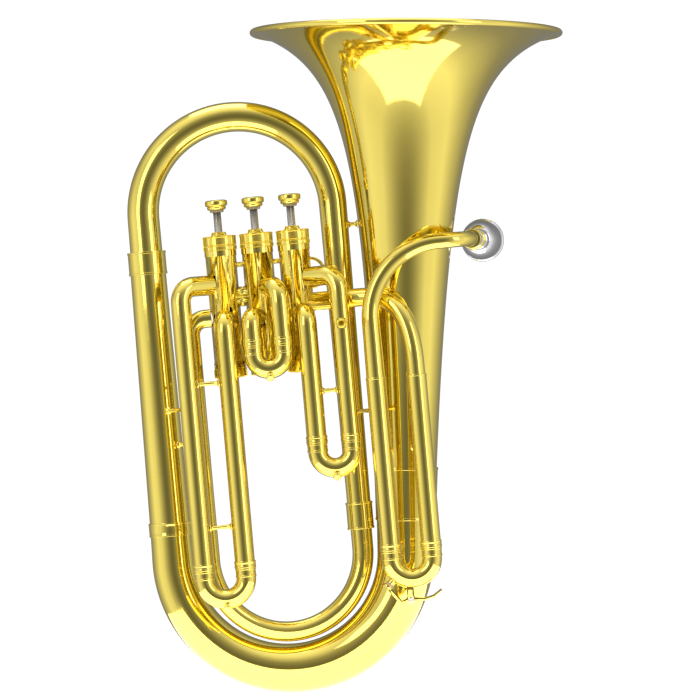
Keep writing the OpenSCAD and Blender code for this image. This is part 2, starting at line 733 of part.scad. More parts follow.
// The turned pull knob on the front of a slide's bend.
knob_tilt = 35;
module pull_knob(x, y, end_z) {
    bend = (x[1] - x[0]) / 2;
    foot_z = end_z - slide_end_gap - crook_ferrule_length - bend;
    translate([(x[0] + x[1]) / 2, y, foot_z]) rotate([90 + knob_tilt, 0, 0])
        translate([0, 0, crook_r - solder_sink]) {
            cylinder(r = 3, h = 1.3);
            cylinder(r = 1.7, h = 4.6);
            translate([0, 0, 3.4]) cylinder(r1 = 2.4, r2 = 3.6, h = 1.2);
            translate([0, 0, 4.6]) cylinder(r = 3.6, h = 1.2);
            translate([0, 0, 5.8]) cylinder(r1 = 3.6, r2 = 2.2, h = 1);
        }
}

module slide_1_crook() { color(brass) crook(slide_1_x, leg_y, slide_1_end_z, slide_1_inner); }
module slide_2_crook() { color(brass) crook(slide_2_x, leg_y, slide_2_end_z, slide_2_inner); }
module slide_3_crook() { color(brass) crook(slide_3_x, leg_y, slide_3_end_z, slide_3_inner); }
module slide_1_knob() { color(brass) pull_knob(slide_1_x, leg_y, slide_1_end_z); }
module slide_2_knob() { color(brass) pull_knob(slide_2_x, leg_y, slide_2_end_z); }
module slide_3_knob() { color(brass) pull_knob(slide_3_x, leg_y, slide_3_end_z); }

// The leadpipe and the main tuning slide ------------------------------------------------------------

lead_path = concat(
    [[main_x[0], lead_y, main_top_z], [main_x[0], lead_y, (main_top_z + lead_z - lead_arc_r) / 2]],
    arc([main_x[0] + lead_arc_r, lead_y, lead_z - lead_arc_r], lead_arc_r, [-1, 0, 0], [0, 0, 1], 0, 90, 14),
    arc([lead_turn_x, lead_y + receiver_bend_r, lead_z], receiver_bend_r,
        [0, -1, 0], [1, 0, 0], 0, receiver_turn, 12),
    [lead_end + lead_straight * [cos(receiver_turn), sin(receiver_turn), 0]]
);

module leadpipe() {
    color(brass) swept_tube(lead_path, lead_start_r, leadpipe_end_r, tube_wall, [0, 1, 0], 24);
}

module on_receiver(far) {
    translate(lead_end) rotate([0, 0, receiver_turn]) rotate([0, 90, 0]) translate([0, 0, far]) children();
}

// The shank narrows towards its end, and the receiver's socket follows it.
shank_r = 6.35;
shank_end_r = 5.7;
shank_gap = 0.05;
socket_floor = lead_straight + 2;

module mouthpiece_receiver() {
    color(brass) on_receiver(0) difference() {
        union() {
            translate([0, 0, 1]) cylinder(r = receiver_r - 0.6, h = receiver_length + 5);
            for (z = [1, receiver_length + 2]) translate([0, 0, z]) cylinder(r = receiver_r + 0.3, h = 4);
        }
        translate([0, 0, -1]) cylinder(r = leadpipe_end_r + 0.15, h = lead_straight + 1);
        translate([0, 0, lead_straight - gap]) cylinder(r = shank_end_r - 0.7, h = 3);
        translate([0, 0, socket_floor]) cylinder(r1 = shank_end_r + shank_gap, r2 = shank_r + shank_gap,
            h = shank_in + 0.01);
        translate([0, 0, socket_floor + shank_in]) cylinder(r = shank_r + 0.3, h = 20);
    }
}

// The mouthpiece, turned about its own axis, with its shank at z = 0.
module mouthpiece_shape() {
    r = mouthpiece_d / 2;
    l = mouthpiece_length;
    rotate_extrude($fn = 72) polygon(concat(
        [[shank_end_r - 1.1, 0], [shank_end_r, 0], [shank_r, shank_in], [shank_r + 0.4, l * 0.42],
            [7.6, l * 0.46], [7.6, l * 0.49], [8.6, l * 0.52]],
        // The outside of the cup.
        [for (a = [10:10:90]) [8.6 + (r - 10.2) * sin(a), l * 0.52 + (l * 0.34) * (1 - cos(a))]],
        // The rounded rim.
        [for (a = [-60:20:90]) [r - 2.4 + 2.4 * cos(a), l - 2.4 + 2.4 * sin(a)]],
        // The inside of the cup, the throat and the backbore.
        [for (a = [90:-15:0]) [3.2 + (r - 10) * sin(a), l - 30 + 28 * (1 - cos(a))]],
        [[3.2, l - 36], [shank_end_r - 1.1, 6]]
    ));
}

module mouthpiece() {
    color(silver) on_receiver(socket_floor + 0.3) mouthpiece_shape();
}

// The tube that feeds the first valve from the main tuning slide.
feed_path = concat(
    [feed_turn],
    curve(
        feed_turn + 2 * feed_way, feed_turn + 24 * feed_way, [main_x[1], lead_y, port_feed_z - 4],
        [main_x[1], lead_y, port_feed_z - 64], 20),
    [[main_x[1], lead_y, main_top_z + slide_end_gap]]
);

module valve_feed_tube() {
    color(brass) translate(gap * feed_way)
        swept_tube(feed_path, inner_slide_r, inner_slide_r, tube_wall, [0, 0, 1], 24);
}

module main_slide_legs() {
    top = main_foot_z + main_inner + inner_top_gap;
    color(brass) for (x = main_x) translate([x, lead_y, 0]) difference() {
        union() {
            translate([0, 0, main_foot_z]) cylinder(r = outer_slide_r, h = main_top_z - main_foot_z);
            translate([0, 0, main_foot_z]) cylinder(r = outer_slide_r + 0.7, h = 6);
            translate([0, 0, main_top_z - 1]) cylinder(r = outer_slide_r + 0.3, h = 1);
        }
        translate([0, 0, main_foot_z - 1]) cylinder(r = bore_r, h = main_top_z - main_foot_z + 2);
        translate([0, 0, main_foot_z - 1]) cylinder(r = outer_slide_bore_r, h = top - main_foot_z + 1);
    }
}

// The water key ------------------------------------------------------------

main_bend = main_slide_width / 2;
crook_mid = [(main_x[0] + main_x[1]) / 2, lead_y, main_foot_z - slide_end_gap - crook_ferrule_length];
nipple_angle = 225;
nipple_way = [cos(nipple_angle), 0, sin(nipple_angle)];
nipple_length = 3.2;
nipple_r = 3.2;
nipple_sink = 1.2;

module at_nipple(far) {
    translate(crook_mid + (main_bend + crook_r + far) * nipple_way) face(nipple_way) children();
}

// The inner legs stand on a film of solder above the bend, which has the drain hole and its
// nipple.
module main_slide_crook() {
    color(brass) {
        translate([0, 0, gap]) crook_legs(main_x, lead_y, main_foot_z, main_inner);
        difference() {
            union() {
                crook_bend(main_x, lead_y, main_foot_z);
                at_nipple(-nipple_sink) cylinder(r = nipple_r, h = nipple_length + nipple_sink);
            }
            at_nipple(-crook_r) cylinder(r = nipple_r - 1, h = 2 * crook_r);
        }
    }
}

cork_h = 2.2;
cork_r = 3.9;
key_pivot = crook_mid + [-3.8, 0, -(main_bend + crook_r) - 9.5];
key_width = 6;

module water_key_cork() {
    color("saddlebrown") at_nipple(nipple_length + 0.05) cylinder(r = cork_r, h = cork_h);
}

// The lever's outline in the X-Z plane, measured from its pivot.
cup_foot = crook_mid + (main_bend + crook_r + nipple_length + cork_h + 0.05) * nipple_way - key_pivot;
lever_outline = [
    [cup_foot[0] + 2, cup_foot[2] - 1.4], [-8, -0.6], [-3, 1.6], [4, 1.6], [12, 0.4], [20, 2.4],
    [27, 7.2], [27.8, 6], [21, 0.4], [12, -1.8], [4, -2], [-4, -2], [-10, -2.6],
    [cup_foot[0] - 1, cup_foot[2] - 3.6]
];

// The lever is forked round the spring, and its cup holds the cork.
spring_coil_r = 3.6;
spring_wire_r = 0.55;
fork_gap = 3.7;

module water_key_lever() {
    color(brass) difference() {
        union() {
            difference() {
                translate(key_pivot) rotate([90, 0, 0]) linear_extrude(key_width, center = true)
                    polygon(lever_outline);
                translate(key_pivot) rotate([90, 0, 0])
                    cylinder(r = spring_coil_r + spring_wire_r + 0.2, h = fork_gap, center = true);
            }
            translate(key_pivot) rotate([90, 0, 0]) cylinder(r = 2.9, h = key_width, center = true);
            at_nipple(nipple_length + cork_h + 0.05) cylinder(r = cork_r + 0.6, h = 1.6);
        }
        translate(key_pivot) rotate([90, 0, 0])
            cylinder(r = key_screw_r + pivot_gap, h = key_width + 2, center = true);
        at_nipple(nipple_length) cylinder(r = cork_r + gap, h = cork_h + 0.06);
    }
}

ear = 1.5;
ear_gap = 0.25;
module water_key_saddle() {
    top = 9.5 + crook_r * 0.32;
    color(brass) for (side = [-1, 1])
        translate([key_pivot[0], lead_y + side * (key_width / 2 + ear_gap + ear / 2), key_pivot[2]])
            difference() {
                union() {
                    rotate([90, 0, 0]) cylinder(r = 3.1, h = ear, center = true);
                    translate([-3.1, -ear / 2, 0]) cube([6.2, ear, top]);
                }
                rotate([90, 0, 0]) cylinder(r = key_screw_r + gap, h = ear + 2, center = true);
                translate([crook_mid[0] - key_pivot[0], -side * (key_width / 2 + ear_gap + ear / 2),
                    crook_mid[2] - key_pivot[2]]) u_bend(main_bend, crook_r);
            }
}

module water_key_screw() {
    reach = key_width / 2 + ear_gap + ear;
    color(steel) translate(key_pivot) rotate([90, 0, 0]) {
        cylinder(r = key_screw_r, h = 2 * reach, center = true);
        difference() {
            translate([0, 0, reach]) cylinder(r = 2.1, h = 1.3);
            translate([-3, -0.3, reach + 0.6]) cube([6, 0.6, 2]);
        }
    }
}

// The flat spring's coils lie round the lever's barrel, one on each side of its middle.
module water_key_spring() {
    color(steel) translate(key_pivot) rotate([90, 0, 0]) difference() {
        union() for (k = [-1:1]) translate([0, 0, 1.15 * k]) rotate_extrude($fn = 48)
            translate([spring_coil_r, 0]) circle(r = spring_wire_r, $fn = 16);
        cylinder(r = 2.9 + gap, h = 10, center = true);
    }
}

// Rings, braces and the music holder's socket ------------------------------------------------------------

ring_r = 13;
ring_wire = 1.5;
ring_centre = [right_x - 12.6 - ring_r, -3.5, port_high_z + 4];

module finger_ring() {
    color(brass) {
        translate(ring_centre) rotate([90, 0, 0]) rotate_extrude($fn = 64)
            translate([ring_r, 0]) circle(r = ring_wire, $fn = 20);
    }
}

bell_brace_z = top_z - 20;
module braces() {
    color(brass) {
        // Bell to top bow.
        brace([right_x + 12.1 - solder_sink, 0, bell_brace_z],
            [bell_axis_x(bell_brace_z) - bell_r_at(bell_brace_z) / cos(bell_lean) + solder_sink, 0, bell_brace_z]);
        // Left branch to the third slide and to the exit tube.
        tube_brace([left_x, 0], 16.9, [slide_3_x[0], leg_y], outer_slide_r, bow_z + 135);
        tube_brace([left_x, 0], 17.1, [exit_x, valve_y], inner_slide_r, bow_z + 104);
        // Between the legs of the third and of the first slide.
        for (z = [bow_z + 156, bow_z + 29])
            tube_brace([slide_3_x[0], leg_y], outer_slide_r, [slide_3_x[1], leg_y], outer_slide_r, z);
        tube_brace([slide_1_x[0], leg_y], outer_slide_r, [slide_1_x[1], leg_y], outer_slide_r, bow_z + 141);
        // Right branch to the leadpipe's leg.
        tube_brace([right_x, 0], 11.1, [main_x[0], lead_y], outer_slide_r, bow_z + 120);
        // Bell to the main slide's second leg.
        tube_brace([bell_axis_x(bow_z + 84), 0], bell_r_at(bow_z + 84), [main_x[1], lead_y],
            outer_slide_r, bow_z + 84);
    }
}

lyre_z = casing_top_z - 83;
lyre_h = 9;
lyre_y = leg_y - outer_slide_r - 3.2;

module lyre_socket() {
    color(brass) difference() {
        union() {
            translate([slide_1_x[1] - 4, lyre_y - 3.6, lyre_z - lyre_h / 2]) cube([8, 7.2, lyre_h]);
            translate([slide_1_x[1] - 3, lyre_y, lyre_z - 3]) cube([6, 3.6 + solder_sink + 1, 6]);
        }
        translate([slide_1_x[1], lyre_y, lyre_z - lyre_h]) cylinder(r = lyre_hole_r, h = 2 * lyre_h);
        translate([slide_1_x[1], lyre_y, lyre_z]) rotate([90, 0, 0]) cylinder(r = 1.4 + pivot_gap, h = 10);
        translate([slide_1_x[1], leg_y, lyre_z - lyre_h])
            cylinder(r = outer_slide_r - solder_sink, h = 2 * lyre_h);
    }
}

module lyre_screw() {
    head_y = lyre_y - 3.6 - 1.2;
    color(brass) translate([slide_1_x[1], 0, lyre_z]) difference() {
        union() {
            translate([0, lyre_y - lyre_hole_r - 0.2, 0]) rotate([90, 0, 0]) cylinder(r = 1.4, h = 3.5);
            translate([0, head_y, 0]) rotate([90, 0, 0]) cylinder(r = 4.6, h = 3.2);
        }
        translate([0, head_y - 2.2, 0]) rotate([90, 0, 0]) cylinder(r = 2.2, h = 3);
    }
}

module valve_casing_1() { valve_casing(1); }
module valve_casing_2() { valve_casing(2); }
module valve_casing_3() { valve_casing(3); }
module top_cap_1() { top_cap(1); }
module top_cap_2() { top_cap(2); }
module top_cap_3() { top_cap(3); }
module bottom_cap_1() { bottom_cap(1); }
module bottom_cap_2() { bottom_cap(2); }
module bottom_cap_3() { bottom_cap(3); }
module piston_1() { piston(1); }
module piston_2() { piston(2); }
module piston_3() { piston(3); }
module stem_1() { stem(1); }
module stem_2() { stem(2); }
module stem_3() { stem(3); }
module button_1() { button(1); }
module button_2() { button(2); }
module button_3() { button(3); }
module felt_1() { felt(1); }
module felt_2() { felt(2); }
module felt_3() { felt(3); }
module spring_1() { valve_spring(1); }
module spring_2() { valve_spring(2); }
module spring_3() { valve_spring(3); }

bell();
bell_rim_wire();
bell_ferrule();
bottom_bow();
left_foot_ferrule();
left_branch();
left_top_ferrule();
top_bow();
right_ferrule();
inner_bow();
exit_tube();
valve_casing_1();
valve_casing_2();
valve_casing_3();
top_cap_1();
top_cap_2();
top_cap_3();
bottom_cap_1();
bottom_cap_2();
bottom_cap_3();
piston_1();
piston_2();
piston_3();
stem_1();
stem_2();
stem_3();
button_1();
button_2();
button_3();
spring_1();
spring_2();
spring_3();
felt_1();
felt_2();
felt_3();
valve_knuckles();
slide_1_legs();
slide_1_crook();
slide_1_knob();
slide_2_legs();
slide_2_crook();
slide_2_knob();
slide_3_legs();
slide_3_crook();
slide_3_knob();
leadpipe();
mouthpiece_receiver();
mouthpiece();
valve_feed_tube();
main_slide_legs();
main_slide_crook();
water_key_lever();
water_key_cork();
water_key_saddle();
water_key_screw();
water_key_spring();
finger_ring();
braces();
lyre_socket();
lyre_screw();
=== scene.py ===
# %% [markdown]
# A three-valve euphonium in lacquered brass. It was designed as solid pieces first, and this
# file gives those pieces their finished look: smooth mirror-bright tubes, turned caps and
# buttons, a rolled bell rim, and a silver mouthpiece. Every size here is in metres, with Z up
# along the valves and the player on the +Y side.

# %% Load the designed pieces
import json
import math

import bpy
from mathutils import Matrix, Vector


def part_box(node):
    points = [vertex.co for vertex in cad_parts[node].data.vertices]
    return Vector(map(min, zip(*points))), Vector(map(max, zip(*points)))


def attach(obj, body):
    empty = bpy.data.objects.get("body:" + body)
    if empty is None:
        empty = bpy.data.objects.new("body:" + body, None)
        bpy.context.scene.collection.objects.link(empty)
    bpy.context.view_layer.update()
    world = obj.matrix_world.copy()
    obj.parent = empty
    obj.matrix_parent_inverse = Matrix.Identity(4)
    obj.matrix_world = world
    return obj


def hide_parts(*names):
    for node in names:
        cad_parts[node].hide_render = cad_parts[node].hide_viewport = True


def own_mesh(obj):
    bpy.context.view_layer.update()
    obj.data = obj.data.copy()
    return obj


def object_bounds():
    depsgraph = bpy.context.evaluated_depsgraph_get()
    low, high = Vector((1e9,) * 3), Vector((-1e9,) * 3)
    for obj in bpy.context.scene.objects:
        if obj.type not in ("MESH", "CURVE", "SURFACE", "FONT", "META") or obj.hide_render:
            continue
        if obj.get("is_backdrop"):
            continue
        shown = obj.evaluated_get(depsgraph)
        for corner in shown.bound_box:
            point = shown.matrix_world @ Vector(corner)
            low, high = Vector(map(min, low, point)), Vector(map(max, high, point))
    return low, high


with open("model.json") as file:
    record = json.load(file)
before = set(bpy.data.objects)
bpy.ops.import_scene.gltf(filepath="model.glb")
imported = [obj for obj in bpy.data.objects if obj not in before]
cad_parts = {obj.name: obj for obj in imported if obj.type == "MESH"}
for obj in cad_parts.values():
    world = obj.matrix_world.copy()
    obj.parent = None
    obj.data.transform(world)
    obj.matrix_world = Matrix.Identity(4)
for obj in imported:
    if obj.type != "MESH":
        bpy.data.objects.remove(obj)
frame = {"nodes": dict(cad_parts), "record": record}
cad_low, cad_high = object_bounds()
record = frame["record"]
body_of = {node: body for body, nodes in record["behaviour"]["bodies"].items() for node in nodes}
slot_of = {part["node"]: part["material_slot"] for part in record["subparts"]}
MM = 0.001

# %% [markdown]
# The camera comes first. The instrument is seen from the front at the height of its middle,
# from far enough away that the tubes look nearly parallel. It is leaned so that the bell's own
# axis stands upright in the picture, which takes a roll of the camera by the bell's lean.

# %% The camera
BELL_LEAN = math.radians(5)
VIEW_CENTRE = Vector((0.0705, 0.0, 0.3010))
VIEW_WIDTH = 0.625
VIEW_DISTANCE = 3.7

camera = bpy.data.cameras.new("front_camera")
camera.sensor_width = 36
camera.lens = camera.sensor_width * VIEW_DISTANCE / VIEW_WIDTH
camera.clip_end = 50
front_camera = bpy.data.objects.new("front_camera", camera)
bpy.context.scene.collection.objects.link(front_camera)
front_camera.location = VIEW_CENTRE - Vector((0, VIEW_DISTANCE, 0))
front_camera.rotation_euler = (math.pi / 2, BELL_LEAN, 0)
bpy.context.scene.camera = front_camera
bpy.context.scene.view_settings.view_transform = "Standard"

# %% [markdown]
# Polished brass shows nothing but its surroundings, so the light matters more here than on any
# other finish. A tube facing the viewer needs something dark straight in front, for the dark
# line down its middle, and broad bright fields to both sides, for the yellow on its flanks.
# The room is therefore a ramp that is dark in front, bright at the sides and dimmer again at
# the back. Only the metal and the lighting see it: the background itself stays plain white.

# %% The room
def ramp(tree, source, stops, name):
    """A colour ramp with grey stops, fed by a value between 0 and 1."""
    node = tree.nodes.new("ShaderNodeValToRGB")
    node.name = name
    elements = node.color_ramp.elements
    while len(elements) < len(stops):
        elements.new(0.5)
    for element, (place, colour) in zip(elements, stops):
        element.position = place
        grey = colour if isinstance(colour, tuple) else (colour,) * 3
        element.color = (*grey, 1)
    tree.links.new(source, node.inputs["Fac"])
    return node


room = bpy.data.worlds.new("room")
bpy.context.scene.world = room
room.use_nodes = True
tree = room.node_tree
tree.nodes.clear()
direction = tree.nodes.new("ShaderNodeTexCoord")
parts = tree.nodes.new("ShaderNodeSeparateXYZ")
tree.links.new(direction.outputs["Generated"], parts.inputs[0])


def to_unit(tree, source):
    """Moves a value from the range -1 to 1 into 0 to 1."""
    node = tree.nodes.new("ShaderNodeMath")
    node.operation = "MULTIPLY_ADD"
    node.inputs[1].default_value = 0.5
    node.inputs[2].default_value = 0.5
    tree.links.new(source, node.inputs[0])
    return node.outputs[0]


front_to_back = ramp(tree, to_unit(tree, parts.outputs["Y"]), [
    (0.0, 0.17), (0.03, 0.32), (0.09, 0.58), (0.2, 0.96),
    (0.42, 1.08), (0.62, 0.70), (0.86, 0.34), (1.0, 0.22),
], "front to back")
low_to_high = ramp(tree, to_unit(tree, parts.outputs["Z"]), [
    (0.0, 1.2), (0.25, 0.95), (0.5, 1.0), (0.74, 0.72), (0.9, 1.0), (1.0, 1.3),
], "low to high")
both = tree.nodes.new("ShaderNodeMix")
both.data_type = "RGBA"
both.blend_type = "MULTIPLY"
both.inputs["Factor"].default_value = 1.0
tree.links.new(front_to_back.outputs["Color"], both.inputs["A"])
tree.links.new(low_to_high.outputs["Color"], both.inputs["B"])
seen_in_metal = tree.nodes.new("ShaderNodeBackground")
seen_in_metal.inputs["Strength"].default_value = 1.0
tree.links.new(both.outputs["Result"], seen_in_metal.inputs["Color"])
backdrop = tree.nodes.new("ShaderNodeBackground")
backdrop.inputs["Color"].default_value = (1, 1, 1, 1)
backdrop.inputs["Strength"].default_value = 1.05
path = tree.nodes.new("ShaderNodeLightPath")
choose = tree.nodes.new("ShaderNodeMixShader")
tree.links.new(path.outputs["Is Camera Ray"], choose.inputs["Fac"])
tree.links.new(seen_in_metal.outputs[0], choose.inputs[1])
tree.links.new(backdrop.outputs[0], choose.inputs[2])
output = tree.nodes.new("ShaderNodeOutputWorld")
tree.links.new(choose.outputs[0], output.inputs["Surface"])


def softbox(name, size, place, target, power, colour=(1, 1, 1)):
    """A rectangular light that points at a target."""
    bpy.ops.object.light_add(type="AREA", location=place)
    light = bpy.context.object
    light.name = name
    light.data.shape = "RECTANGLE"
    light.data.size, light.data.size_y = size
    light.data.energy = power
    light.data.color = colour
    light.rotation_euler = (Vector(target) - Vector(place)).to_track_quat("-Z", "Y").to_euler()
    return light


aim = (cad_low + cad_high) / 2
softbox("key", (0.9, 1.6), aim + Vector((-1.5, -1.9, 0.9)), aim, 9, (1, 0.98, 0.94))
softbox("fill", (0.7, 1.6), aim + Vector((1.7, -1.6, 0.5)), aim, 6)
softbox("top", (1.6, 1.2), aim + Vector((0, 0.2, 1.9)), aim, 12)

# %% [markdown]
# The floor is one small white sheet that glows, a hair below the bottom bow. It lights the
# undersides of the bends from below, which is where brass on a white table shows its palest
# yellow. Because it glows it shows no shadow, and it runs into the white background.

# %% The floor
def glowing_paper(name, value, glow):
    """A white paper that gives off light of its own, with a faint unevenness."""
    material = bpy.data.materials.new(name)
    material.use_nodes = True
    nodes, links = material.node_tree.nodes, material.node_tree.links
    shader = nodes["Principled BSDF"]
    shader.inputs["Roughness"].default_value = 0.9
    shader.inputs["Emission Color"].default_value = (1, 1, 1, 1)
    shader.inputs["Emission Strength"].default_value = glow
    noise = nodes.new("ShaderNodeTexNoise")
    noise.inputs["Scale"].default_value = 6
    mix = nodes.new("ShaderNodeMix")
    mix.data_type = "RGBA"
    mix.inputs["A"].default_value = (value, value, value, 1)
    mix.inputs["B"].default_value = (value * 0.985, value * 0.985, value * 0.98, 1)
    links.new(noise.outputs["Fac"], mix.inputs["Factor"])
    links.new(mix.outputs["Result"], shader.inputs["Base Color"])
    return material


FLOOR_DROP = 0.6 * MM
bpy.ops.mesh.primitive_plane_add(size=1, location=(0.03, -0.23, cad_low.z - FLOOR_DROP))
floor = bpy.context.object
floor.name = "floor"
floor.scale = (0.66, 0.74, 1)
floor.data.materials.append(glowing_paper("white_paper", 0.35, 2.1))
floor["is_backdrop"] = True

# %% [markdown]
# Materials. Lacquered brass is a mirror with a clear coat. Its colour shifts a little where
# the metal was worked, its polish is broken by faint wipe marks, and a drawn tube is never
# perfectly true, which makes the reflections waver. Each finish below is the same recipe with
# other numbers: a metal, two tones, a wipe pattern on the roughness, and a shallow wave.

# %% A polished metal
def polished(name, tone, other_tone, rough, rough_spread, wave_scale, wave, coat=0.0, grain=None):
    """A metal with two tones, wipe marks in its polish, and a shallow wave in its surface."""
    material = bpy.data.materials.new(name)
    material.use_nodes = True
    nodes, links = material.node_tree.nodes, material.node_tree.links
    shader = nodes["Principled BSDF"]
    shader.inputs["Metallic"].default_value = 1.0
    shader.inputs["Coat Weight"].default_value = coat
    shader.inputs["Coat Roughness"].default_value = 0.03
    place = nodes.new("ShaderNodeTexCoord")

    tone_noise = nodes.new("ShaderNodeTexNoise")
    tone_noise.inputs["Scale"].default_value = 18
    tone_noise.inputs["Detail"].default_value = 4
    tone_noise.inputs["Distortion"].default_value = 0.6
    links.new(place.outputs["Object"], tone_noise.inputs["Vector"])
    tones = nodes.new("ShaderNodeMix")
    tones.data_type = "RGBA"
    tones.inputs["A"].default_value = (*tone, 1)
    tones.inputs["B"].default_value = (*other_tone, 1)
    links.new(tone_noise.outputs["Fac"], tones.inputs["Factor"])
    links.new(tones.outputs["Result"], shader.inputs["Base Color"])

    wipe_space = nodes.new("ShaderNodeMapping")
    wipe_space.inputs["Scale"].default_value = grain or (260, 260, 40)
    links.new(place.outputs["Object"], wipe_space.inputs["Vector"])
    wipes = nodes.new("ShaderNodeTexNoise")
    wipes.inputs["Scale"].default_value = 1.0
    wipes.inputs["Detail"].default_value = 6
    wipes.inputs["Roughness"].default_value = 0.7
    links.new(wipe_space.outputs["Vector"], wipes.inputs["Vector"])
    polish = nodes.new("ShaderNodeMapRange")
    polish.inputs["From Min"].default_value = 0.35
    polish.inputs["From Max"].default_value = 0.75
    polish.inputs["To Min"].default_value = rough
    polish.inputs["To Max"].default_value = rough + rough_spread
    links.new(wipes.outputs["Fac"], polish.inputs["Value"])
    links.new(polish.outputs["Result"], shader.inputs["Roughness"])

    swell = nodes.new("ShaderNodeTexNoise")
    swell.inputs["Scale"].default_value = wave_scale
    swell.inputs["Detail"].default_value = 1.5
    links.new(place.outputs["Object"], swell.inputs["Vector"])
    bump = nodes.new("ShaderNodeBump")
    bump.inputs["Strength"].default_value = 1.0
    bump.inputs["Distance"].default_value = wave
    links.new(swell.outputs["Fac"], bump.inputs["Height"])
    links.new(bump.outputs["Normal"], shader.inputs["Normal"])
    return material


BRASS = (0.90, 0.735, 0.155)
BRASS_DEEP = (0.84, 0.665, 0.12)
finishes = {
    "lacquered_brass": polished(
        "lacquered_brass", BRASS, BRASS_DEEP, 0.055, 0.05, 30, 0.00016, coat=0.35),
    "silver_plate": polished(
        "silver_plate", (0.80, 0.79, 0.80), (0.73, 0.72, 0.74), 0.07, 0.06, 60, 0.00003),
    "piston_plating": polished(
        "piston_plating", (0.74, 0.75, 0.76), (0.68, 0.69, 0.71), 0.18, 0.10, 60, 0.00001),
    "stem_steel": polished(
        "stem_steel", (0.78, 0.78, 0.82), (0.66, 0.66, 0.70), 0.42, 0.14, 80, 0.00001,
        grain=(60, 60, 900)),
    "spring_steel": polished(
        "spring_steel", (0.55, 0.55, 0.56), (0.47, 0.47, 0.49), 0.28, 0.1, 80, 0.00001),
}

# %% [markdown]
# Felt and cork are the two soft finishes, both tiny. Felt is a matted fibre, so it gets a
# fine noise in its colour, a deep fine bump and some sheen. Cork is a warm brown speckled
# with dark pores, which a cell pattern gives.

# %% Felt and cork
def felted(name, tone, fleck):
    """A matted wool finish."""
    material = bpy.data.materials.new(name)
    material.use_nodes = True
    nodes, links = material.node_tree.nodes, material.node_tree.links
    shader = nodes["Principled BSDF"]
    shader.inputs["Roughness"].default_value = 0.95
    shader.inputs["Sheen Weight"].default_value = 0.5
    place = nodes.new("ShaderNodeTexCoord")
    fibre = nodes.new("ShaderNodeTexNoise")
    fibre.inputs["Scale"].default_value = 1800
    fibre.inputs["Detail"].default_value = 6
    fibre.inputs["Distortion"].default_value = 2
    links.new(place.outputs["Object"], fibre.inputs["Vector"])
    mix = nodes.new("ShaderNodeMix")
    mix.data_type = "RGBA"
    mix.inputs["A"].default_value = (*tone, 1)
    mix.inputs["B"].default_value = (*fleck, 1)
    links.new(fibre.outputs["Fac"], mix.inputs["Factor"])
    links.new(mix.outputs["Result"], shader.inputs["Base Color"])
    bump = nodes.new("ShaderNodeBump")
    bump.inputs["Distance"].default_value = 0.0003
    links.new(fibre.outputs["Fac"], bump.inputs["Height"])
    links.new(bump.outputs["Normal"], shader.inputs["Normal"])
    return material


def corked(name):
    """Warm brown with dark pores."""
    material = bpy.data.materials.new(name)
    material.use_nodes = True
    nodes, links = material.node_tree.nodes, material.node_tree.links
    shader = nodes["Principled BSDF"]
    shader.inputs["Roughness"].default_value = 0.85
    place = nodes.new("ShaderNodeTexCoord")
    cells = nodes.new("ShaderNodeTexVoronoi")
    cells.inputs["Scale"].default_value = 1100
    links.new(place.outputs["Object"], cells.inputs["Vector"])
    grains = ramp(material.node_tree, cells.outputs["Distance"], [
        (0.0, (0.16, 0.08, 0.04)), (0.18, (0.42, 0.26, 0.13)), (1.0, (0.62, 0.42, 0.24)),
    ], "grains")
    links.new(grains.outputs["Color"], shader.inputs["Base Color"])
    bump = nodes.new("ShaderNodeBump")
    bump.inputs["Distance"].default_value = 0.0002
    links.new(cells.outputs["Distance"], bump.inputs["Height"])
    links.new(bump.outputs["Normal"], shader.inputs["Normal"])
    return material


finishes["felt"] = felted("felt", (0.30, 0.24, 0.10), (0.42, 0.35, 0.17))
finishes["cork"] = corked("cork")
print("finishes:", ", ".join(sorted(finishes)))

# %% [markdown]
# A few helpers that every piece uses. One clears the selection, because a modelling operator
# acts on everything that is selected. One closes a piece: its place goes into its mesh, it is
# shaded smooth with its real edges kept sharp, and it takes its finish and rides on its body.

# %% Starting and closing a piece
def clear_selection():
    if bpy.context.object and bpy.context.object.mode != "OBJECT":
        bpy.ops.object.mode_set(mode="OBJECT")
    bpy.ops.object.select_all(action="DESELECT")


def pick(piece):
    """Makes a piece the only selected and active one."""
    clear_selection()
    piece.select_set(True)
    bpy.context.view_layer.objects.active = piece


def close_piece(piece, node, angle=35, stands_for=True):
    """Settles a finished piece on its node's body, with that node's finish."""
    pick(piece)
    bpy.ops.object.transform_apply(location=True, rotation=True, scale=True)
    bpy.ops.object.shade_smooth_by_angle(angle=math.radians(angle))
    piece.data.materials.clear()
    piece.data.materials.append(finishes[slot_of[node]])
    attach(piece, body_of[node])
    if stands_for:
        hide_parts(node)
    return piece


# %% [markdown]
# Many designed pieces already have the right shape. Their meshes are loose triangles, which a
# mirror finish would show as facets. So each gets a copy whose corners are merged, whose
# triangles are paired back into quads, and whose round faces are shaded as one surface.

# %% A smooth copy of a designed piece
def smooth_copy(node, angle=35, bevel=0.0):
    piece = bpy.data.objects.new(node + "_finished", frame["nodes"][node].data.copy())
    bpy.context.scene.collection.objects.link(piece)
    pick(piece)
    bpy.ops.object.mode_set(mode="EDIT")
    bpy.ops.mesh.select_all(action="SELECT")
    bpy.ops.mesh.remove_doubles(threshold=2e-6)
    bpy.ops.mesh.tris_convert_to_quads(
        face_threshold=math.radians(40), shape_threshold=math.radians(60))
    bpy.ops.object.mode_set(mode="OBJECT")
    if bevel:
        edges = piece.modifiers.new("edges", "BEVEL")
        edges.limit_method = "ANGLE"
        edges.angle_limit = math.radians(45)
        edges.width = bevel
        edges.segments = 2
        bpy.ops.object.modifier_apply(modifier=edges.name)
    return close_piece(piece, node, angle)

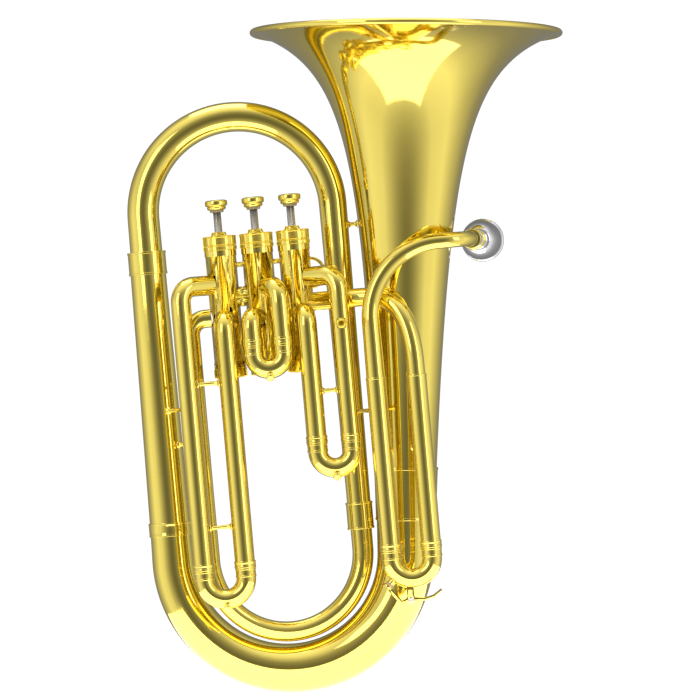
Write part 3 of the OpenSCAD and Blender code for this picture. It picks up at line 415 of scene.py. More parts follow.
# %% [markdown]
# Nearly everything on a brass instrument that isn't a tube is turned on a lathe: the bell,
# the caps, the buttons, the ferrules and the mouthpiece. The same is done here. An outline of
# radii and heights is drawn beside the Z axis by extruding a single corner from point to
# point, then spun once round the axis, and the piece is set on its place.

# %% Turning on the lathe
def stand(piece, foot, way):
    """Puts a piece made along the Z axis on its foot, pointing along a direction."""
    turned = Vector(way).to_track_quat("Z", "Y").to_matrix().to_4x4()
    piece.matrix_world = Matrix.Translation(foot) @ turned


def turn(name, outline, foot=(0, 0, 0), way=(0, 0, 1), steps=96, closed=False):
    """Spins an outline of (radius, height) points. A closed outline gives a hollow piece."""
    clear_selection()
    bpy.ops.mesh.primitive_plane_add(size=0.001, location=(0, 0, 0))
    piece = bpy.context.object
    piece.name = name
    bpy.ops.object.mode_set(mode="EDIT")
    bpy.ops.mesh.select_mode(type="VERT")
    bpy.ops.mesh.select_all(action="SELECT")
    bpy.ops.mesh.merge(type="CENTER")
    bpy.ops.transform.translate(value=(outline[0][0], 0, outline[0][1]))
    points = list(outline) + ([outline[0]] if closed else [])
    for (r, z), (next_r, next_z) in zip(points, points[1:]):
        step = (next_r - r, 0, next_z - z)
        bpy.ops.mesh.extrude_region_move(TRANSFORM_OT_translate={"value": step})
    bpy.ops.mesh.select_all(action="SELECT")
    bpy.ops.mesh.spin(steps=steps, angle=math.tau, center=(0, 0, 0), axis=(0, 0, 1))
    bpy.ops.mesh.select_all(action="SELECT")
    bpy.ops.mesh.remove_doubles(threshold=1e-6)
    bpy.ops.mesh.normals_make_consistent(inside=False)
    bpy.ops.object.mode_set(mode="OBJECT")
    stand(piece, foot, way)
    return piece


def round_corner(centre_r, centre_z, radius, start, end, steps=6):
    """Points of an arc in an outline, with its angles in degrees from the outward direction."""
    return [
        (centre_r + radius * math.cos(math.radians(start + (end - start) * i / steps)),
         centre_z + radius * math.sin(math.radians(start + (end - start) * i / steps)))
        for i in range(steps + 1)
    ]


def sleeve(inner, outer, length, bead=0.0004, bead_width=0.0018, edge=0.00025):
    """A sleeve's outline, with a rounded bead at each end. Radii are (at foot, at top)."""
    def wall(radii, z):
        return radii[0] + (radii[1] - radii[0]) * z / length
    outline = [(wall(inner, 0), 0), (wall(outer, 0) + bead - edge, 0)]
    for foot in (0, length - bead_width):
        r = wall(outer, foot + bead_width / 2) + bead
        outline += round_corner(r - edge, foot + edge, edge, -90, 0, 3)
        outline += round_corner(r - edge, foot + bead_width - edge, edge, 0, 90, 3)
        if foot == 0:
            outline += [(wall(outer, bead_width), bead_width + 0.0001)]
            outline += [(wall(outer, length - bead_width), length - bead_width - 0.0001)]
    return outline + [(wall(inner, length), length)]


# %% [markdown]
# The bell opens out by a power law: its radius falls off with the distance behind the rim,
# fast at first and then slowly. Sheet brass 1 mm thick is spun to that curve, and its edge is
# rolled round a steel wire into a bead. The outline goes up the outside, round the bead and
# down the inside, and 192 steps round keep the reflections smooth.

# %% The bell
BELL_LENGTH = 463 * MM
MOUTH_R = 139.7 * MM
FLARE_OFFSET = 28.7 * MM
FLARE_POWER = 0.6
BELL_WALL = 1.0 * MM
BEAD_R = 2.8 * MM
FOOT_OVERLAP = 52 * MM
BOW_WIDTH = 208 * MM
bell_way = Vector((math.sin(BELL_LEAN), 0, math.cos(BELL_LEAN)))


def bell_radius(from_rim):
    return (MOUTH_R - BEAD_R) * (FLARE_OFFSET / (from_rim + FLARE_OFFSET)) ** FLARE_POWER


flare_span = BELL_LENGTH - FOOT_OVERLAP
bell_foot_r = bell_radius(flare_span)
left_foot_r = 18.2 * MM
bow_rise = 29.5 * MM
bow_r = BOW_WIDTH / 2
bow_arc = bow_r * (math.pi - BELL_LEAN)
bow_length = bow_rise + bow_arc + FOOT_OVERLAP
bow_x = 1 * MM
bow_middle_far = bow_rise + math.pi * bow_r / 2
bow_z = bow_r + left_foot_r + (bell_foot_r - left_foot_r) * bow_middle_far / bow_length
bell_base = Vector((bow_x + bow_r * math.cos(BELL_LEAN), 0, bow_z - bow_r * math.sin(BELL_LEAN)))


def flare_distance(i, steps, nearest):
    """Distances behind the rim, close together where the flare curves."""
    return nearest + (flare_span - nearest) * (i / steps) ** 2.2


FLARE_STEPS = 56
outside = [flare_distance(FLARE_STEPS - i, FLARE_STEPS, 1.0 * MM) for i in range(FLARE_STEPS + 1)]
inside = [flare_distance(i, FLARE_STEPS, 0.7 * MM) for i in range(FLARE_STEPS + 1)]
bell_outline = [(bell_radius(d), BELL_LENGTH - d) for d in outside]
bell_outline += round_corner(MOUTH_R - BEAD_R, BELL_LENGTH, BEAD_R, 210, 540, 26)
bell_outline += [(bell_radius(d) - BELL_WALL, BELL_LENGTH - d) for d in inside]
bell = turn("bell_spun", bell_outline, foot=bell_base, way=bell_way, steps=192, closed=True)
close_piece(bell, "bell", angle=50)


def millimetres(size):
    return [round(v * 1000, 1) for v in size]


low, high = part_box("bell")
print("bell", millimetres(bell.dimensions), "designed", millimetres(high - low))

# %% [markdown]
# The large bows and the leadpipe are tapered tubes bent on a mandrel. A curve does this in
# one go: its points follow the bend, each with its own radius, and the curve's round bevel
# becomes the tube. It is then made a mesh with closed ends, which sit inside the ferrules.

# %% Bending tubes
def arc_points(centre, u, v, start, end, steps):
    """Points round a centre, from the vector u towards the vector v, with angles in degrees."""
    return [
        Vector(centre) + math.cos(a) * Vector(u) + math.sin(a) * Vector(v)
        for a in (math.radians(start + (end - start) * i / steps) for i in range(steps + 1))
    ]


def bent_tube(name, points, r_start, r_end, sides=12):
    """A tube along the points that tapers evenly from one radius to the other."""
    clear_selection()
    line = bpy.data.curves.new(name, "CURVE")
    line.dimensions = "3D"
    line.bevel_depth = 1.0
    line.bevel_resolution = sides
    line.use_fill_caps = True
    line.twist_mode = "MINIMUM"
    spline = line.splines.new("POLY")
    spline.points.add(len(points) - 1)
    walked = [0.0]
    for a, b in zip(points, points[1:]):
        walked.append(walked[-1] + (Vector(b) - Vector(a)).length)
    for point, place, far in zip(spline.points, points, walked):
        point.co = (*place, 1)
        point.radius = r_start + (r_end - r_start) * far / walked[-1]
    piece = bpy.data.objects.new(name, line)
    bpy.context.scene.collection.objects.link(piece)
    pick(piece)
    bpy.ops.object.convert(target="MESH")
    piece = bpy.context.object
    bpy.ops.object.mode_set(mode="EDIT")
    bpy.ops.mesh.select_all(action="SELECT")
    bpy.ops.mesh.remove_doubles(threshold=1e-6)
    bpy.ops.mesh.normals_make_consistent(inside=False)
    bpy.ops.object.mode_set(mode="OBJECT")
    return piece


def straight(start, end, steps=6):
    """Evenly spaced points on a straight stretch, without its last point."""
    return [Vector(start).lerp(Vector(end), i / steps) for i in range(steps)]


# %% [markdown]
# The four large tubes. The bottom bow widens steadily from the left branch to the bell's
# foot. The left branch is a straight cone, the top bow swings over the valves, and the inner
# bow brings the air up from the third valve into it.

# %% The bows and the left branch
BRANCH_LENGTH = 306.5 * MM
TOP_BOW_R = 84.75 * MM
TOP_START_R, TOP_END_R = 10.5 * MM, 14.5 * MM
LEFT_TOP_R = 15.8 * MM
SLIDE_R = 8.1 * MM
left_x = bow_x - bow_r
top_z = bow_z + BRANCH_LENGTH
right_x = left_x + 2 * TOP_BOW_R
left_foot_z = bow_z + bow_rise
left_joint_z = top_z - 39 * MM
right_joint_z = bow_z + 27 * MM
valve_y = -(TOP_START_R + SLIDE_R + 3.4 * MM)
exit_x = left_x + 34 * MM
exit_foot_z = bow_z + 74 * MM
inner_bow_z = bow_z - 1.5 * MM

bottom_path = straight((left_x, 0, left_foot_z), (left_x, 0, bow_z))
bottom_path += arc_points((bow_x, 0, bow_z), (-bow_r, 0, 0), (0, 0, -bow_r),
                          0, 180 - math.degrees(BELL_LEAN), 96)
bottom_path += [bell_base + bell_way * FOOT_OVERLAP * i / 6 for i in range(1, 7)]
bottom_bow = bent_tube("bottom_bow_bent", bottom_path, left_foot_r, bell_foot_r, sides=22)
close_piece(bottom_bow, "bottom_bow")

top_path = straight((right_x, 0, right_joint_z), (right_x, 0, top_z), 16)
top_path += arc_points((right_x - TOP_BOW_R, 0, top_z), (TOP_BOW_R, 0, 0), (0, 0, TOP_BOW_R),
                       0, 180, 96)
top_path += straight((left_x, 0, top_z), (left_x, 0, left_joint_z), 4)[1:]
top_path += [Vector((left_x, 0, left_joint_z))]
close_piece(bent_tube("top_bow_bent", top_path, TOP_START_R, TOP_END_R, sides=18), "top_bow")

inner_span = Vector((right_x - exit_x, -valve_y, 0))
inner_centre = Vector((exit_x, valve_y, inner_bow_z)) + inner_span / 2
inner_path = straight((exit_x, valve_y, exit_foot_z), (exit_x, valve_y, inner_bow_z))
inner_path += arc_points(inner_centre, -inner_span / 2, (0, 0, -inner_span.length / 2), 0, 180, 84)
inner_path += straight((right_x, 0, inner_bow_z), (right_x, 0, right_joint_z))[1:]
inner_path += [Vector((right_x, 0, right_joint_z))]
close_piece(bent_tube("inner_bow_bent", inner_path, SLIDE_R, 9.6 * MM, sides=16), "inner_bow")

branch_path = straight((left_x, 0, left_foot_z), (left_x, 0, left_joint_z), 24)
branch_path += [Vector((left_x, 0, left_joint_z))]
branch = bent_tube("left_branch_drawn", branch_path, left_foot_r, LEFT_TOP_R, sides=22)
close_piece(branch, "left_branch")
for node in ("bottom_bow", "top_bow", "inner_bow", "left_branch"):
    low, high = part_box(node)
    print(node, "designed", millimetres(high - low))

# %% [markdown]
# Wherever two tubes meet, a ferrule covers the joint: a short turned sleeve with a small
# rounded bead at both ends, which catches the light as a bright line.

# %% The ferrules
def ferrule(name, node, inner, outer, half, centre, way=(0, 0, 1), **beads):
    foot = Vector(centre) - Vector(way) * half
    outline = sleeve(inner, outer, 2 * half, **beads)
    return close_piece(turn(name, outline, foot, way, 128, closed=True), node, 30)


PROUD = 1 * MM
half = 23.5 * MM
low_r, high_r = bell_radius(flare_span + half), bell_radius(flare_span - half)
ferrule("bell_ferrule_turned", "bell_ferrule", (bell_foot_r + 0.05 * MM, high_r + 0.05 * MM),
        (low_r + PROUD, high_r + PROUD), half, bell_base + bell_way * FOOT_OVERLAP, bell_way,
        bead_width=2.2 * MM)
ferrule("left_foot_ring", "left_foot_ferrule", (left_foot_r + 0.55 * MM,) * 2,
        (left_foot_r + PROUD,) * 2, 6 * MM, (left_x, 0, left_foot_z),
        bead=0.15 * MM, bead_width=1.4 * MM, edge=0.12 * MM)
ferrule("left_top_ferrule_turned", "left_top_ferrule",
        (LEFT_TOP_R + 0.2 * MM, TOP_END_R + 0.2 * MM), (LEFT_TOP_R + 1.1 * MM,) * 2,
        10.25 * MM, (left_x, 0, left_joint_z))
ferrule("right_ferrule_turned", "right_ferrule", (9.8 * MM, TOP_START_R + 0.35 * MM),
        (TOP_START_R + 1.25 * MM,) * 2, 12 * MM, (right_x, 0, right_joint_z))

# %% [markdown]
# The valves. A casing is a plain drawn tube with its ports cut in, so the designed shape only
# needs smoothing. The caps that screw on it are knurled, so that wet fingers can turn them:
# each face of one band round the cap is inset and pushed in a little, which leaves a ring of
# small raised ribs between them.

# %% Knurling
def knurl(piece, low, high, depth, rib):
    """Presses in each face of the band between two heights, leaving ribs between them."""
    pick(piece)
    bpy.ops.object.mode_set(mode="OBJECT")
    for polygon in piece.data.polygons:
        normal = polygon.normal
        polygon.select = low < polygon.center.z < high and abs(normal.z) < 0.2 and \
            normal.x * polygon.center.x + normal.y * polygon.center.y > 0
    bpy.ops.object.mode_set(mode="EDIT")
    bpy.ops.mesh.select_mode(type="FACE")
    bpy.ops.mesh.inset(thickness=rib, depth=-depth, use_individual=True)
    bpy.ops.object.mode_set(mode="OBJECT")


CAP_R = 15.1 * MM
CASING_R = 13.7 * MM


def top_cap_outline(height):
    """From inside the skirt, up the knurled side and over the shoulder to the stem's collar."""
    shoulder = height - 3.5 * MM
    outline = [(CASING_R + 0.05 * MM, 0), (CASING_R + 0.7 * MM, 0)]
    outline += round_corner(CAP_R - 0.4 * MM, 0.4 * MM, 0.4 * MM, -90, 0, 3)
    outline += [(CAP_R, 3.4 * MM), (CAP_R - 0.5 * MM, 3.9 * MM), (CAP_R - 0.5 * MM, 4.6 * MM),
                (CAP_R - 0.2 * MM, 5.0 * MM), (CAP_R - 0.2 * MM, shoulder - 1.6 * MM),
                (CAP_R, shoulder - 1.2 * MM)]
    outline += round_corner(CAP_R - 0.7 * MM, shoulder - 0.7 * MM, 0.7 * MM, 0, 90, 4)
    outline += [(8.6 * MM, shoulder), (7.4 * MM, shoulder + 0.5 * MM),
                (6.9 * MM, shoulder + 1.4 * MM)]
    outline += round_corner(6.5 * MM - 0.8 * MM, height - 0.8 * MM, 0.8 * MM, 0, 90, 4)
    return outline + [(3.7 * MM, height), (3.7 * MM, shoulder - 1.5 * MM),
                      (CASING_R + 0.05 * MM, shoulder - 1.5 * MM)]


def bottom_cap_outline(height):
    """A shallow cup with a knurled side, a rounded foot and a drain hole."""
    outline = [(3.2 * MM, 0), (9.5 * MM, 0), (10.4 * MM, 0.5 * MM), (12.6 * MM, 0.5 * MM)]
    outline += round_corner(14.6 * MM - 1.2 * MM, 1.7 * MM, 1.2 * MM, -90, 0, 4)
    outline += [(14.6 * MM, height - 3.4 * MM), (14.0 * MM, height - 3.0 * MM),
                (14.0 * MM, height - 1.0 * MM), (CASING_R + 0.02 * MM, height - 0.4 * MM)]
    return outline + [(CASING_R + 0.02 * MM, 2.4 * MM), (3.2 * MM, 2.0 * MM)]


for i in (1, 2, 3):
    low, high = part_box(f"top_cap_{i}")
    middle = (low + high) / 2
    cap = turn(f"top_cap_{i}_turned", top_cap_outline(high.z - low.z), closed=True)
    knurl(cap, 5.0 * MM, high.z - low.z - 5.2 * MM, 0.22 * MM, 0.12 * MM)
    cap.location = (middle.x, middle.y, low.z)
    close_piece(cap, f"top_cap_{i}", 25)

    low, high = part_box(f"bottom_cap_{i}")
    middle = (low + high) / 2
    cap = turn(f"bottom_cap_{i}_turned", bottom_cap_outline(high.z - low.z), closed=True)
    knurl(cap, 1.8 * MM, high.z - low.z - 3.5 * MM, 0.22 * MM, 0.12 * MM)
    cap.location = (middle.x, middle.y, low.z)
    close_piece(cap, f"bottom_cap_{i}", 25)
    smooth_copy(f"valve_casing_{i}", 30)

# %% [markdown]
# The finger buttons are solid brass mushrooms: a wide flat rim with a dished top, a groove
# below it, and a narrower skirt. A felt washer under each button quiets its landing on the
# cap. Stems, pistons and springs keep their designed shapes.

# %% Buttons, felts and stems
def button_outline(height, r):
    outline = [(0, 0), (3.6 * MM, 0), (6.6 * MM, 0.1 * MM), (7.9 * MM, 0.7 * MM),
               (8.5 * MM, 1.6 * MM), (8.5 * MM, 2.5 * MM), (8.1 * MM, 3.0 * MM),
               (8.3 * MM, 3.5 * MM)]
    outline += round_corner(r - 1.3 * MM, 4.9 * MM, 1.3 * MM, -70, 0, 4)
    outline += round_corner(r - 1.0 * MM, height - 1.5 * MM, 1.0 * MM, 0, 80, 4)
    outline += round_corner(r - 2.4 * MM, height - 0.75 * MM, 0.75 * MM, 70, 130, 3)
    return outline + [(6.2 * MM, height - 0.75 * MM), (4.0 * MM, height - 1.05 * MM),
                      (2.0 * MM, height - 1.2 * MM), (0, height - 1.25 * MM)]


def washer_outline(height, inner, outer, edge):
    outline = [(inner, edge), (inner + edge, 0)]
    outline += round_corner(outer - edge, edge, edge, -90, 0, 4)
    outline += round_corner(outer - edge, height - edge, edge, 0, 90, 4)
    return outline + [(inner + edge, height), (inner, height - edge)]


for i in (1, 2, 3):
    low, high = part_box(f"button_{i}")
    middle = (low + high) / 2
    close_piece(turn(f"button_{i}_turned", button_outline(high.z - low.z, (high.x - low.x) / 2),
                     (middle.x, middle.y, low.z), steps=80), f"button_{i}", 28)
    low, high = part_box(f"felt_{i}")
    outline = washer_outline(high.z - low.z, 3.55 * MM, (high.x - low.x) / 2, 0.7 * MM)
    felt = turn(f"felt_{i}_cut", outline, (middle.x, middle.y, low.z), steps=56, closed=True)
    close_piece(felt, f"felt_{i}", 60)
    smooth_copy(f"stem_{i}", 30)
    smooth_copy(f"piston_{i}", 30)
    low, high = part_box(f"spring_{i}")
    spring = smooth_copy(f"spring_{i}", 60)
    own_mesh(spring)
smooth_copy("valve_knuckles", 30)

# %% [markdown]
# The valve slides. Each has two fixed legs, which leave the valve sideways, bend down and end
# in a collar, and a crook that draws out of them: two thin inner legs, a ferrule on each, and
# the bend that joins them. All of them are built from the tube and the lathe above and then
# joined, because they are soldered together.

# %% Joining, legs and crooks
BORE_R = 7.4 * MM
OUTER_R = 8.85 * MM
CROOK_R = OUTER_R - 0.2 * MM
CROOK_FERRULE = 8 * MM
SLIDE_STOP = 0.1 * MM
SOLDER_SINK = 0.3 * MM
leg_y = valve_y - (CASING_R + OUTER_R + 3.45 * MM)
casing_top_z = top_z - 24.5 * MM
valve_x = {i: right_x - 70.5 * MM + (2 - i) * 32.6 * MM for i in (1, 2, 3)}
PORT_DROPS = {"high": 39.5, "cane": 44.5, "feed": 61.5, "exit": 68.5, "low": 70.5}
port_z = {name: casing_top_z - drop * MM for name, drop in PORT_DROPS.items()}


def join(pieces, name):
    """Makes one object of several."""
    bpy.context.view_layer.update()
    clear_selection()
    for piece in pieces:
        piece.select_set(True)
    bpy.context.view_layer.objects.active = pieces[0]
    bpy.ops.object.join()
    pieces[0].name = name
    return pieces[0]


def collar(x, y, foot_z):
    """The raised band on the end of a fixed leg."""
    outline = sleeve((OUTER_R - 0.2 * MM,) * 2, (OUTER_R + 0.5 * MM,) * 2, 6 * MM,
                     bead=0.2 * MM, edge=0.15 * MM)
    return turn("collar", outline, (x, y, foot_z), steps=64, closed=True)


def outer_leg(i, x, z, bend, end_z):
    """A tube from a valve's port to the slides' plane, bent down, with a collar on its end."""
    port = Vector((valve_x[i], valve_y, z))
    out = Vector((x, leg_y, z)) - port
    way = out.normalized()
    turn_at = port + way * (out.length - bend)
    path = straight(port + way * (CASING_R - 0.5 * MM), turn_at, 3)
    path += arc_points(turn_at - Vector((0, 0, bend)), (0, 0, bend), way * bend, 0, 90, 20)
    path += straight((x, leg_y, z - bend), (x, leg_y, end_z), 8)[1:] + [Vector((x, leg_y, end_z))]
    tube = bent_tube("leg", path, OUTER_R, OUTER_R, sides=14)
    return [tube, collar(x, leg_y, end_z)]


def crook(node, xs, y, end_z, inner):
    """The drawn part of a slide."""
    foot_z = end_z - SLIDE_STOP - CROOK_FERRULE
    half = (xs[1] - xs[0]) / 2
    bend = arc_points((sum(xs) / 2, y, foot_z), (-half, 0, 0), (0, 0, -half), 0, 180, 48)
    pieces = [bent_tube("bend", bend, CROOK_R, CROOK_R, sides=14)]
    for x in xs:
        outline = sleeve((BORE_R,) * 2, (OUTER_R,) * 2, CROOK_FERRULE, bead=0.3 * MM, edge=0.2 * MM)
        pieces.append(turn("ferrule", outline, (x, y, foot_z), steps=64, closed=True))
        tube = [(BORE_R, 0), (SLIDE_R, 0), (SLIDE_R, inner), (BORE_R, inner)]
        pieces.append(turn("inner_leg", tube, (x, y, end_z - SLIDE_STOP), steps=64, closed=True))
    return close_piece(join(pieces, node + "_bent"), node, 30)


KNOB_OUTLINE = [
    (0, 0), (3.0, 0), (3.0, 0.9), (2.4, 1.3), (1.9, 1.8), (1.7, 2.4), (1.8, 3.0), (2.4, 3.5),
    (3.2, 4.1), (3.6, 4.8), (3.6, 5.5), (3.3, 6.1), (2.6, 6.6), (1.4, 6.8), (0, 6.8),
]
KNOB_TILT = math.radians(35)
KNOB_WAY = Vector((0, -math.cos(KNOB_TILT), -math.sin(KNOB_TILT)))

# For each slide: its two legs (place, port, bend radius), its end's height, its inner legs' length.
SLIDES = {
    1: ([(valve_x[1] + 5.9 * MM, "low", 11 * MM), (valve_x[1] + 36.4 * MM, "high", 14 * MM)],
        222 * MM, 67 * MM),
    2: ([(valve_x[2] - 10.6 * MM, "low", 9.5 * MM), (valve_x[2] + 16.1 * MM, "cane", 14 * MM)],
        312 * MM, 14 * MM),
    3: ([(valve_x[3] - 37.9 * MM, "high", 14 * MM), (valve_x[3] - 1.4 * MM, "low", 11 * MM)],
        118 * MM, 110 * MM),
}
for i, (legs, end_z, inner) in SLIDES.items():
    xs = [x for x, port, bend in legs]
    tubes = []
    for x, port, bend in legs:
        tubes += outer_leg(i, x, port_z[port], bend, end_z)
    close_piece(join(tubes, f"slide_{i}_legs_bent"), f"slide_{i}_legs", 30)
    crook(f"slide_{i}_crook", xs, leg_y, end_z, inner)
    lowest = Vector((sum(xs) / 2, leg_y, end_z - SLIDE_STOP - CROOK_FERRULE - (xs[1] - xs[0]) / 2))
    knob = turn(f"slide_{i}_knob_turned", [(r * MM, z * MM) for r, z in KNOB_OUTLINE],
                lowest + KNOB_WAY * (CROOK_R - SOLDER_SINK), KNOB_WAY, 48)
    close_piece(knob, f"slide_{i}_knob", 50)
print("slides end at", {i: end_z for i, (legs, end_z, inner) in SLIDES.items()})

# %% [markdown]
# The leadpipe tapers from the main tuning slide up to the mouthpiece. It swings over in front
# of the bell in one wide bend and then turns back towards the player. The main tuning slide's
# fixed legs are straight, and the tube that feeds the first valve drops into the second one.

# %% The leadpipe, the main tuning slide and the feed tube
def bell_middle(z):
    """Where the bell's axis stands at a height, and the bell's radius there."""
    from_rim = (bell_base.z + BELL_LENGTH * bell_way.z - z) / bell_way.z
    return bell_base.x + (z - bell_base.z) * math.tan(BELL_LEAN), bell_radius(from_rim)


LEAD_ARC_R = 65 * MM
LEADPIPE_R = 6.5 * MM
RECEIVER_BEND_R = 26 * MM
RECEIVER_TURN = math.radians(82)
LEAD_STRAIGHT = 12 * MM
MAIN_WIDTH = 35.6 * MM
main_foot_z = 122 * MM
main_top_z = main_foot_z + 153 * MM
lead_z = top_z - 43 * MM
lead_y = -(bell_middle(lead_z)[1] + LEADPIPE_R + 9 * MM)
main_left = bell_middle(main_foot_z)[0] - 14 * MM
main_x = (main_left, main_left + MAIN_WIDTH)
receiver_way = Vector((math.cos(RECEIVER_TURN), math.sin(RECEIVER_TURN), 0))
last_bend = Vector((main_left + LEAD_ARC_R + 4 * MM, lead_y + RECEIVER_BEND_R, lead_z))

lead_path = straight((main_left, lead_y, main_top_z), (main_left, lead_y, lead_z - LEAD_ARC_R), 4)
lead_path += arc_points((main_left + LEAD_ARC_R, lead_y, lead_z - LEAD_ARC_R),
                        (-LEAD_ARC_R, 0, 0), (0, 0, LEAD_ARC_R), 0, 90, 48)
lead_path += arc_points(last_bend, (0, -RECEIVER_BEND_R, 0), (RECEIVER_BEND_R, 0, 0),
                        0, math.degrees(RECEIVER_TURN), 30)
lead_end = lead_path[-1]
lead_path.append(lead_end + receiver_way * LEAD_STRAIGHT)
close_piece(bent_tube("leadpipe_bent", lead_path, 8.4 * MM, LEADPIPE_R, sides=16), "leadpipe")

FEED_ANGLE = math.radians(-11.6)
feed_way = Vector((math.cos(FEED_ANGLE), math.sin(FEED_ANGLE), 0))
feed_reach = (main_left - 11 * MM - valve_x[1]) / feed_way.x
feed_turn = Vector((valve_x[1], valve_y, port_z["feed"])) + feed_way * feed_reach
pull = [feed_turn + feed_way * 2 * MM, feed_turn + feed_way * 24 * MM,
        Vector((main_x[1], lead_y, port_z["feed"] - 4 * MM)),
        Vector((main_x[1], lead_y, port_z["feed"] - 64 * MM))]


def curve_point(a, b, c, d, t):
    """A point of a smooth curve from a to d that b and c pull."""
    s = 1 - t
    return s ** 3 * a + 3 * s * s * t * b + 3 * s * t * t * c + t ** 3 * d


feed_path = [feed_turn] + [curve_point(*pull, i / 48) for i in range(49)]
feed_path.append(Vector((main_x[1], lead_y, main_top_z + SLIDE_STOP)))
close_piece(bent_tube("feed_tube_bent", feed_path, SLIDE_R, SLIDE_R, sides=16), "valve_feed_tube")

legs = []
for x in main_x:
    outline = sleeve((BORE_R,) * 2, (OUTER_R,) * 2, main_top_z - main_foot_z, bead=0.25 * MM)
    legs.append(turn("leg", outline, (x, lead_y, main_foot_z), steps=64, closed=True))
    legs.append(collar(x, lead_y, main_foot_z))
close_piece(join(legs, "main_slide_legs_drawn"), "main_slide_legs", 30)
crook("main_slide_crook", main_x, lead_y, main_foot_z, 95 * MM)
crook_middle = Vector((sum(main_x) / 2, lead_y, main_foot_z - SLIDE_STOP - CROOK_FERRULE))
NIPPLE_TURN = math.radians(225)
nipple_way = Vector((math.cos(NIPPLE_TURN), 0, math.sin(NIPPLE_TURN)))
nipple_outline = [(2.2 * MM, -1 * MM), (3.2 * MM, -1 * MM), (3.2 * MM, 2.9 * MM),
                  (2.9 * MM, 3.2 * MM), (2.2 * MM, 3.2 * MM)]
nipple_foot = crook_middle + nipple_way * (MAIN_WIDTH / 2 + CROOK_R)
nipple = turn("nipple", nipple_outline, nipple_foot, nipple_way, 40, closed=True)
close_piece(nipple, "main_slide_crook", stands_for=False)

# %% [markdown]
# The receiver is a sleeve with a broad ring at each end, and the mouthpiece is the one silver
# piece: a shank, a shallow shoulder, a deep cup and a rounded rim.

# %% The receiver and the mouthpiece
RIM_R = 19.5 * MM
MOUTHPIECE_LENGTH = 84 * MM
SHANK_R, SHANK_END_R, SHANK_IN = 6.35 * MM, 5.7 * MM, 24 * MM
receiver_outline = sleeve((6.75 * MM,) * 2, (7.9 * MM,) * 2, 41 * MM,
                          bead=0.9 * MM, bead_width=4 * MM, edge=0.7 * MM)
receiver = turn("receiver_turned", receiver_outline, lead_end + receiver_way * MM, receiver_way,
                72, closed=True)
close_piece(receiver, "mouthpiece_receiver", 40)

cup_foot = MOUTHPIECE_LENGTH * 0.52
cup_depth = MOUTHPIECE_LENGTH * 0.34
mouthpiece_outline = [
    (SHANK_END_R - 1.1 * MM, 0), (SHANK_END_R, 0), (SHANK_R, SHANK_IN),
    (SHANK_R + 0.4 * MM, MOUTHPIECE_LENGTH * 0.42), (7.3 * MM, MOUTHPIECE_LENGTH * 0.45),
    (7.6 * MM, MOUTHPIECE_LENGTH * 0.465), (7.6 * MM, MOUTHPIECE_LENGTH * 0.485),
    (8.6 * MM, cup_foot),
]
# The outside of the cup, the rim, the inside of the cup, then the throat.
for a in (math.radians(6 * k) for k in range(1, 16)):
    mouthpiece_outline.append((8.6 * MM + (RIM_R - 10.2 * MM) * math.sin(a),
                               cup_foot + cup_depth * (1 - math.cos(a))))
mouthpiece_outline += round_corner(RIM_R - 2.4 * MM, MOUTHPIECE_LENGTH - 2.4 * MM, 2.4 * MM,
                                   -60, 90, 15)
for a in (math.radians(90 - 6 * k) for k in range(16)):
    mouthpiece_outline.append((3.2 * MM + (RIM_R - 10 * MM) * math.sin(a),
                               MOUTHPIECE_LENGTH - 30 * MM + 28 * MM * (1 - math.cos(a))))
mouthpiece_outline += [(3.2 * MM, MOUTHPIECE_LENGTH - 36 * MM), (SHANK_END_R - 1.1 * MM, 6 * MM)]
mouthpiece = turn("mouthpiece_turned", mouthpiece_outline,
                  lead_end + receiver_way * (LEAD_STRAIGHT + 2.3 * MM), receiver_way,
                  closed=True)
close_piece(mouthpiece, "mouthpiece", 40)

# %% [markdown]
# The braces are turned rods with a flared foot at each end. Each spans the gap between two
# tubes, and its feet sink a little into both, where they are soldered.

# %% The braces
def brace(start, end):
    span = (Vector(end) - Vector(start)).length
    side = [(0, 0), (3.5, 0), (3.5, 0.5), (3.1, 1.0), (2.3, 1.6), (1.8, 2.6)]
    outline = [(r * MM, z * MM) for r, z in side]
    outline += [(r * MM, span - z * MM) for r, z in reversed(side)]
    return turn("brace", outline, start, Vector(end) - Vector(start), 32)


def brace_between(first, first_r, second, second_r, z):
    """A brace between two upright tubes, each given by its place and its radius."""
    a, b = Vector((*first, z)), Vector((*second, z))
    way = (b - a).normalized()
    return brace(a + way * (first_r - SOLDER_SINK), b - way * (second_r - SOLDER_SINK))


(x_1a, x_1b), (x_3a, x_3b) = [[leg[0] for leg in SLIDES[i][0]] for i in (1, 3)]
brace_z = top_z - 20 * MM
bell_x, bell_r = bell_middle(brace_z)
low_bell_x, low_bell_r = bell_middle(bow_z + 84 * MM)
braces = [
    brace((right_x + 11.8 * MM, 0, brace_z),
          (bell_x - bell_r / math.cos(BELL_LEAN) + SOLDER_SINK, 0, brace_z)),
    brace_between((left_x, 0), 16.9 * MM, (x_3a, leg_y), OUTER_R, bow_z + 135 * MM),
    brace_between((left_x, 0), 17.1 * MM, (exit_x, valve_y), SLIDE_R, bow_z + 104 * MM),
    brace_between((x_3a, leg_y), OUTER_R, (x_3b, leg_y), OUTER_R, bow_z + 156 * MM),
    brace_between((x_3a, leg_y), OUTER_R, (x_3b, leg_y), OUTER_R, bow_z + 29 * MM),
    brace_between((x_1a, leg_y), OUTER_R, (x_1b, leg_y), OUTER_R, bow_z + 141 * MM),
    brace_between((right_x, 0), 11.1 * MM, (main_left, lead_y), OUTER_R, bow_z + 120 * MM),
    brace_between((low_bell_x, 0), low_bell_r, (main_x[1], lead_y), OUTER_R, bow_z + 84 * MM),
]
close_piece(join(braces, "braces_turned"), "braces", 40)

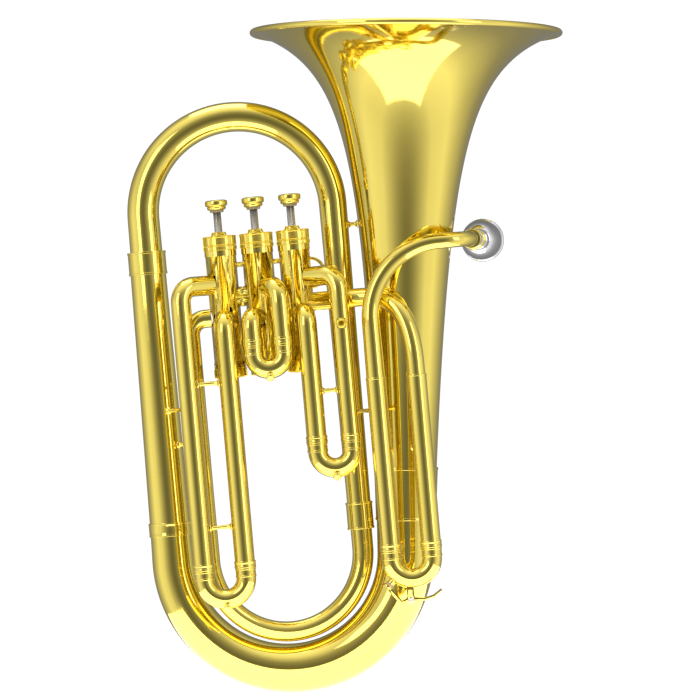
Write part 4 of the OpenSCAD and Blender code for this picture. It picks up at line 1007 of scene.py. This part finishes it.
# %% [markdown]
# Last come the small parts: the thumb ring, the exit tube, the water key and the socket for a
# music holder. The lever and the socket are filed from flat bar, so their edges are broken
# with a small bevel. The holder's screw has a knurled head.

# %% Small parts
low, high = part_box("finger_ring")
bpy.ops.mesh.primitive_torus_add(
    location=(low + high) / 2, rotation=(math.pi / 2, 0, 0), major_segments=96,
    minor_segments=28, major_radius=13 * MM, minor_radius=1.5 * MM)
ring = bpy.context.object
ring.name = "finger_ring_bent"
close_piece(ring, "finger_ring", 60)

EXIT_BEND_R = 14 * MM
exit_z = port_z["exit"]
exit_turn = Vector((exit_x + EXIT_BEND_R, valve_y, exit_z))
exit_path = straight((valve_x[3] - CASING_R + 0.5 * MM, valve_y, exit_z), exit_turn, 3)
exit_path += arc_points(exit_turn - Vector((0, 0, EXIT_BEND_R)), (0, 0, EXIT_BEND_R),
                        (-EXIT_BEND_R, 0, 0), 0, 90, 24)
exit_path += straight(exit_path[-1], (exit_x, valve_y, exit_foot_z), 6)[1:]
exit_path.append(Vector((exit_x, valve_y, exit_foot_z)))
close_piece(bent_tube("exit_tube_bent", exit_path, SLIDE_R, SLIDE_R, sides=16), "exit_tube")

smooth_copy("water_key_lever", 30, bevel=0.25 * MM)
smooth_copy("water_key_saddle", 30, bevel=0.2 * MM)
smooth_copy("water_key_cork", 30, bevel=0.35 * MM)
smooth_copy("water_key_screw", 30, bevel=0.12 * MM)
smooth_copy("water_key_spring", 60)
smooth_copy("lyre_socket", 30, bevel=0.4 * MM)
smooth_copy("bell_rim_wire", 60)

low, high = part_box("lyre_screw")
screw_middle = (low + high) / 2
screw_outline = [
    (0, 0), (1.4, 0), (1.4, 2.4), (4.2, 2.4), (4.6, 2.8), (4.6, 4.3), (4.4, 4.9), (3.9, 5.4),
    (3.3, 5.6), (2.7, 5.4), (2.3, 5.0), (2.1, 4.3), (0, 4.2),
]
tip = Vector((screw_middle.x, high.y, screw_middle.z))
screw = turn("lyre_screw_turned", [(r * MM, z * MM) for r, z in screw_outline], steps=48)
knurl(screw, 2.8 * MM, 4.2 * MM, 0.18 * MM, 0.09 * MM)
stand(screw, tip, (0, -1, 0))
close_piece(screw, "lyre_screw", 30)
print("clamp screw", millimetres(screw.dimensions), "designed", millimetres(high - low))

# %% [markdown]
# Every designed piece now has its finished twin. What is left is to note how the finished
# instrument's size compares with the designed one, and to hand everything over.

# %% Finish
still_plain = [node for node, piece in frame["nodes"].items() if not piece.hide_render]
print("pieces still in their designed form:", still_plain or "none")
low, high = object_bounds()
print("finished size", millimetres(high - low), "designed", millimetres(cad_high - cad_low))
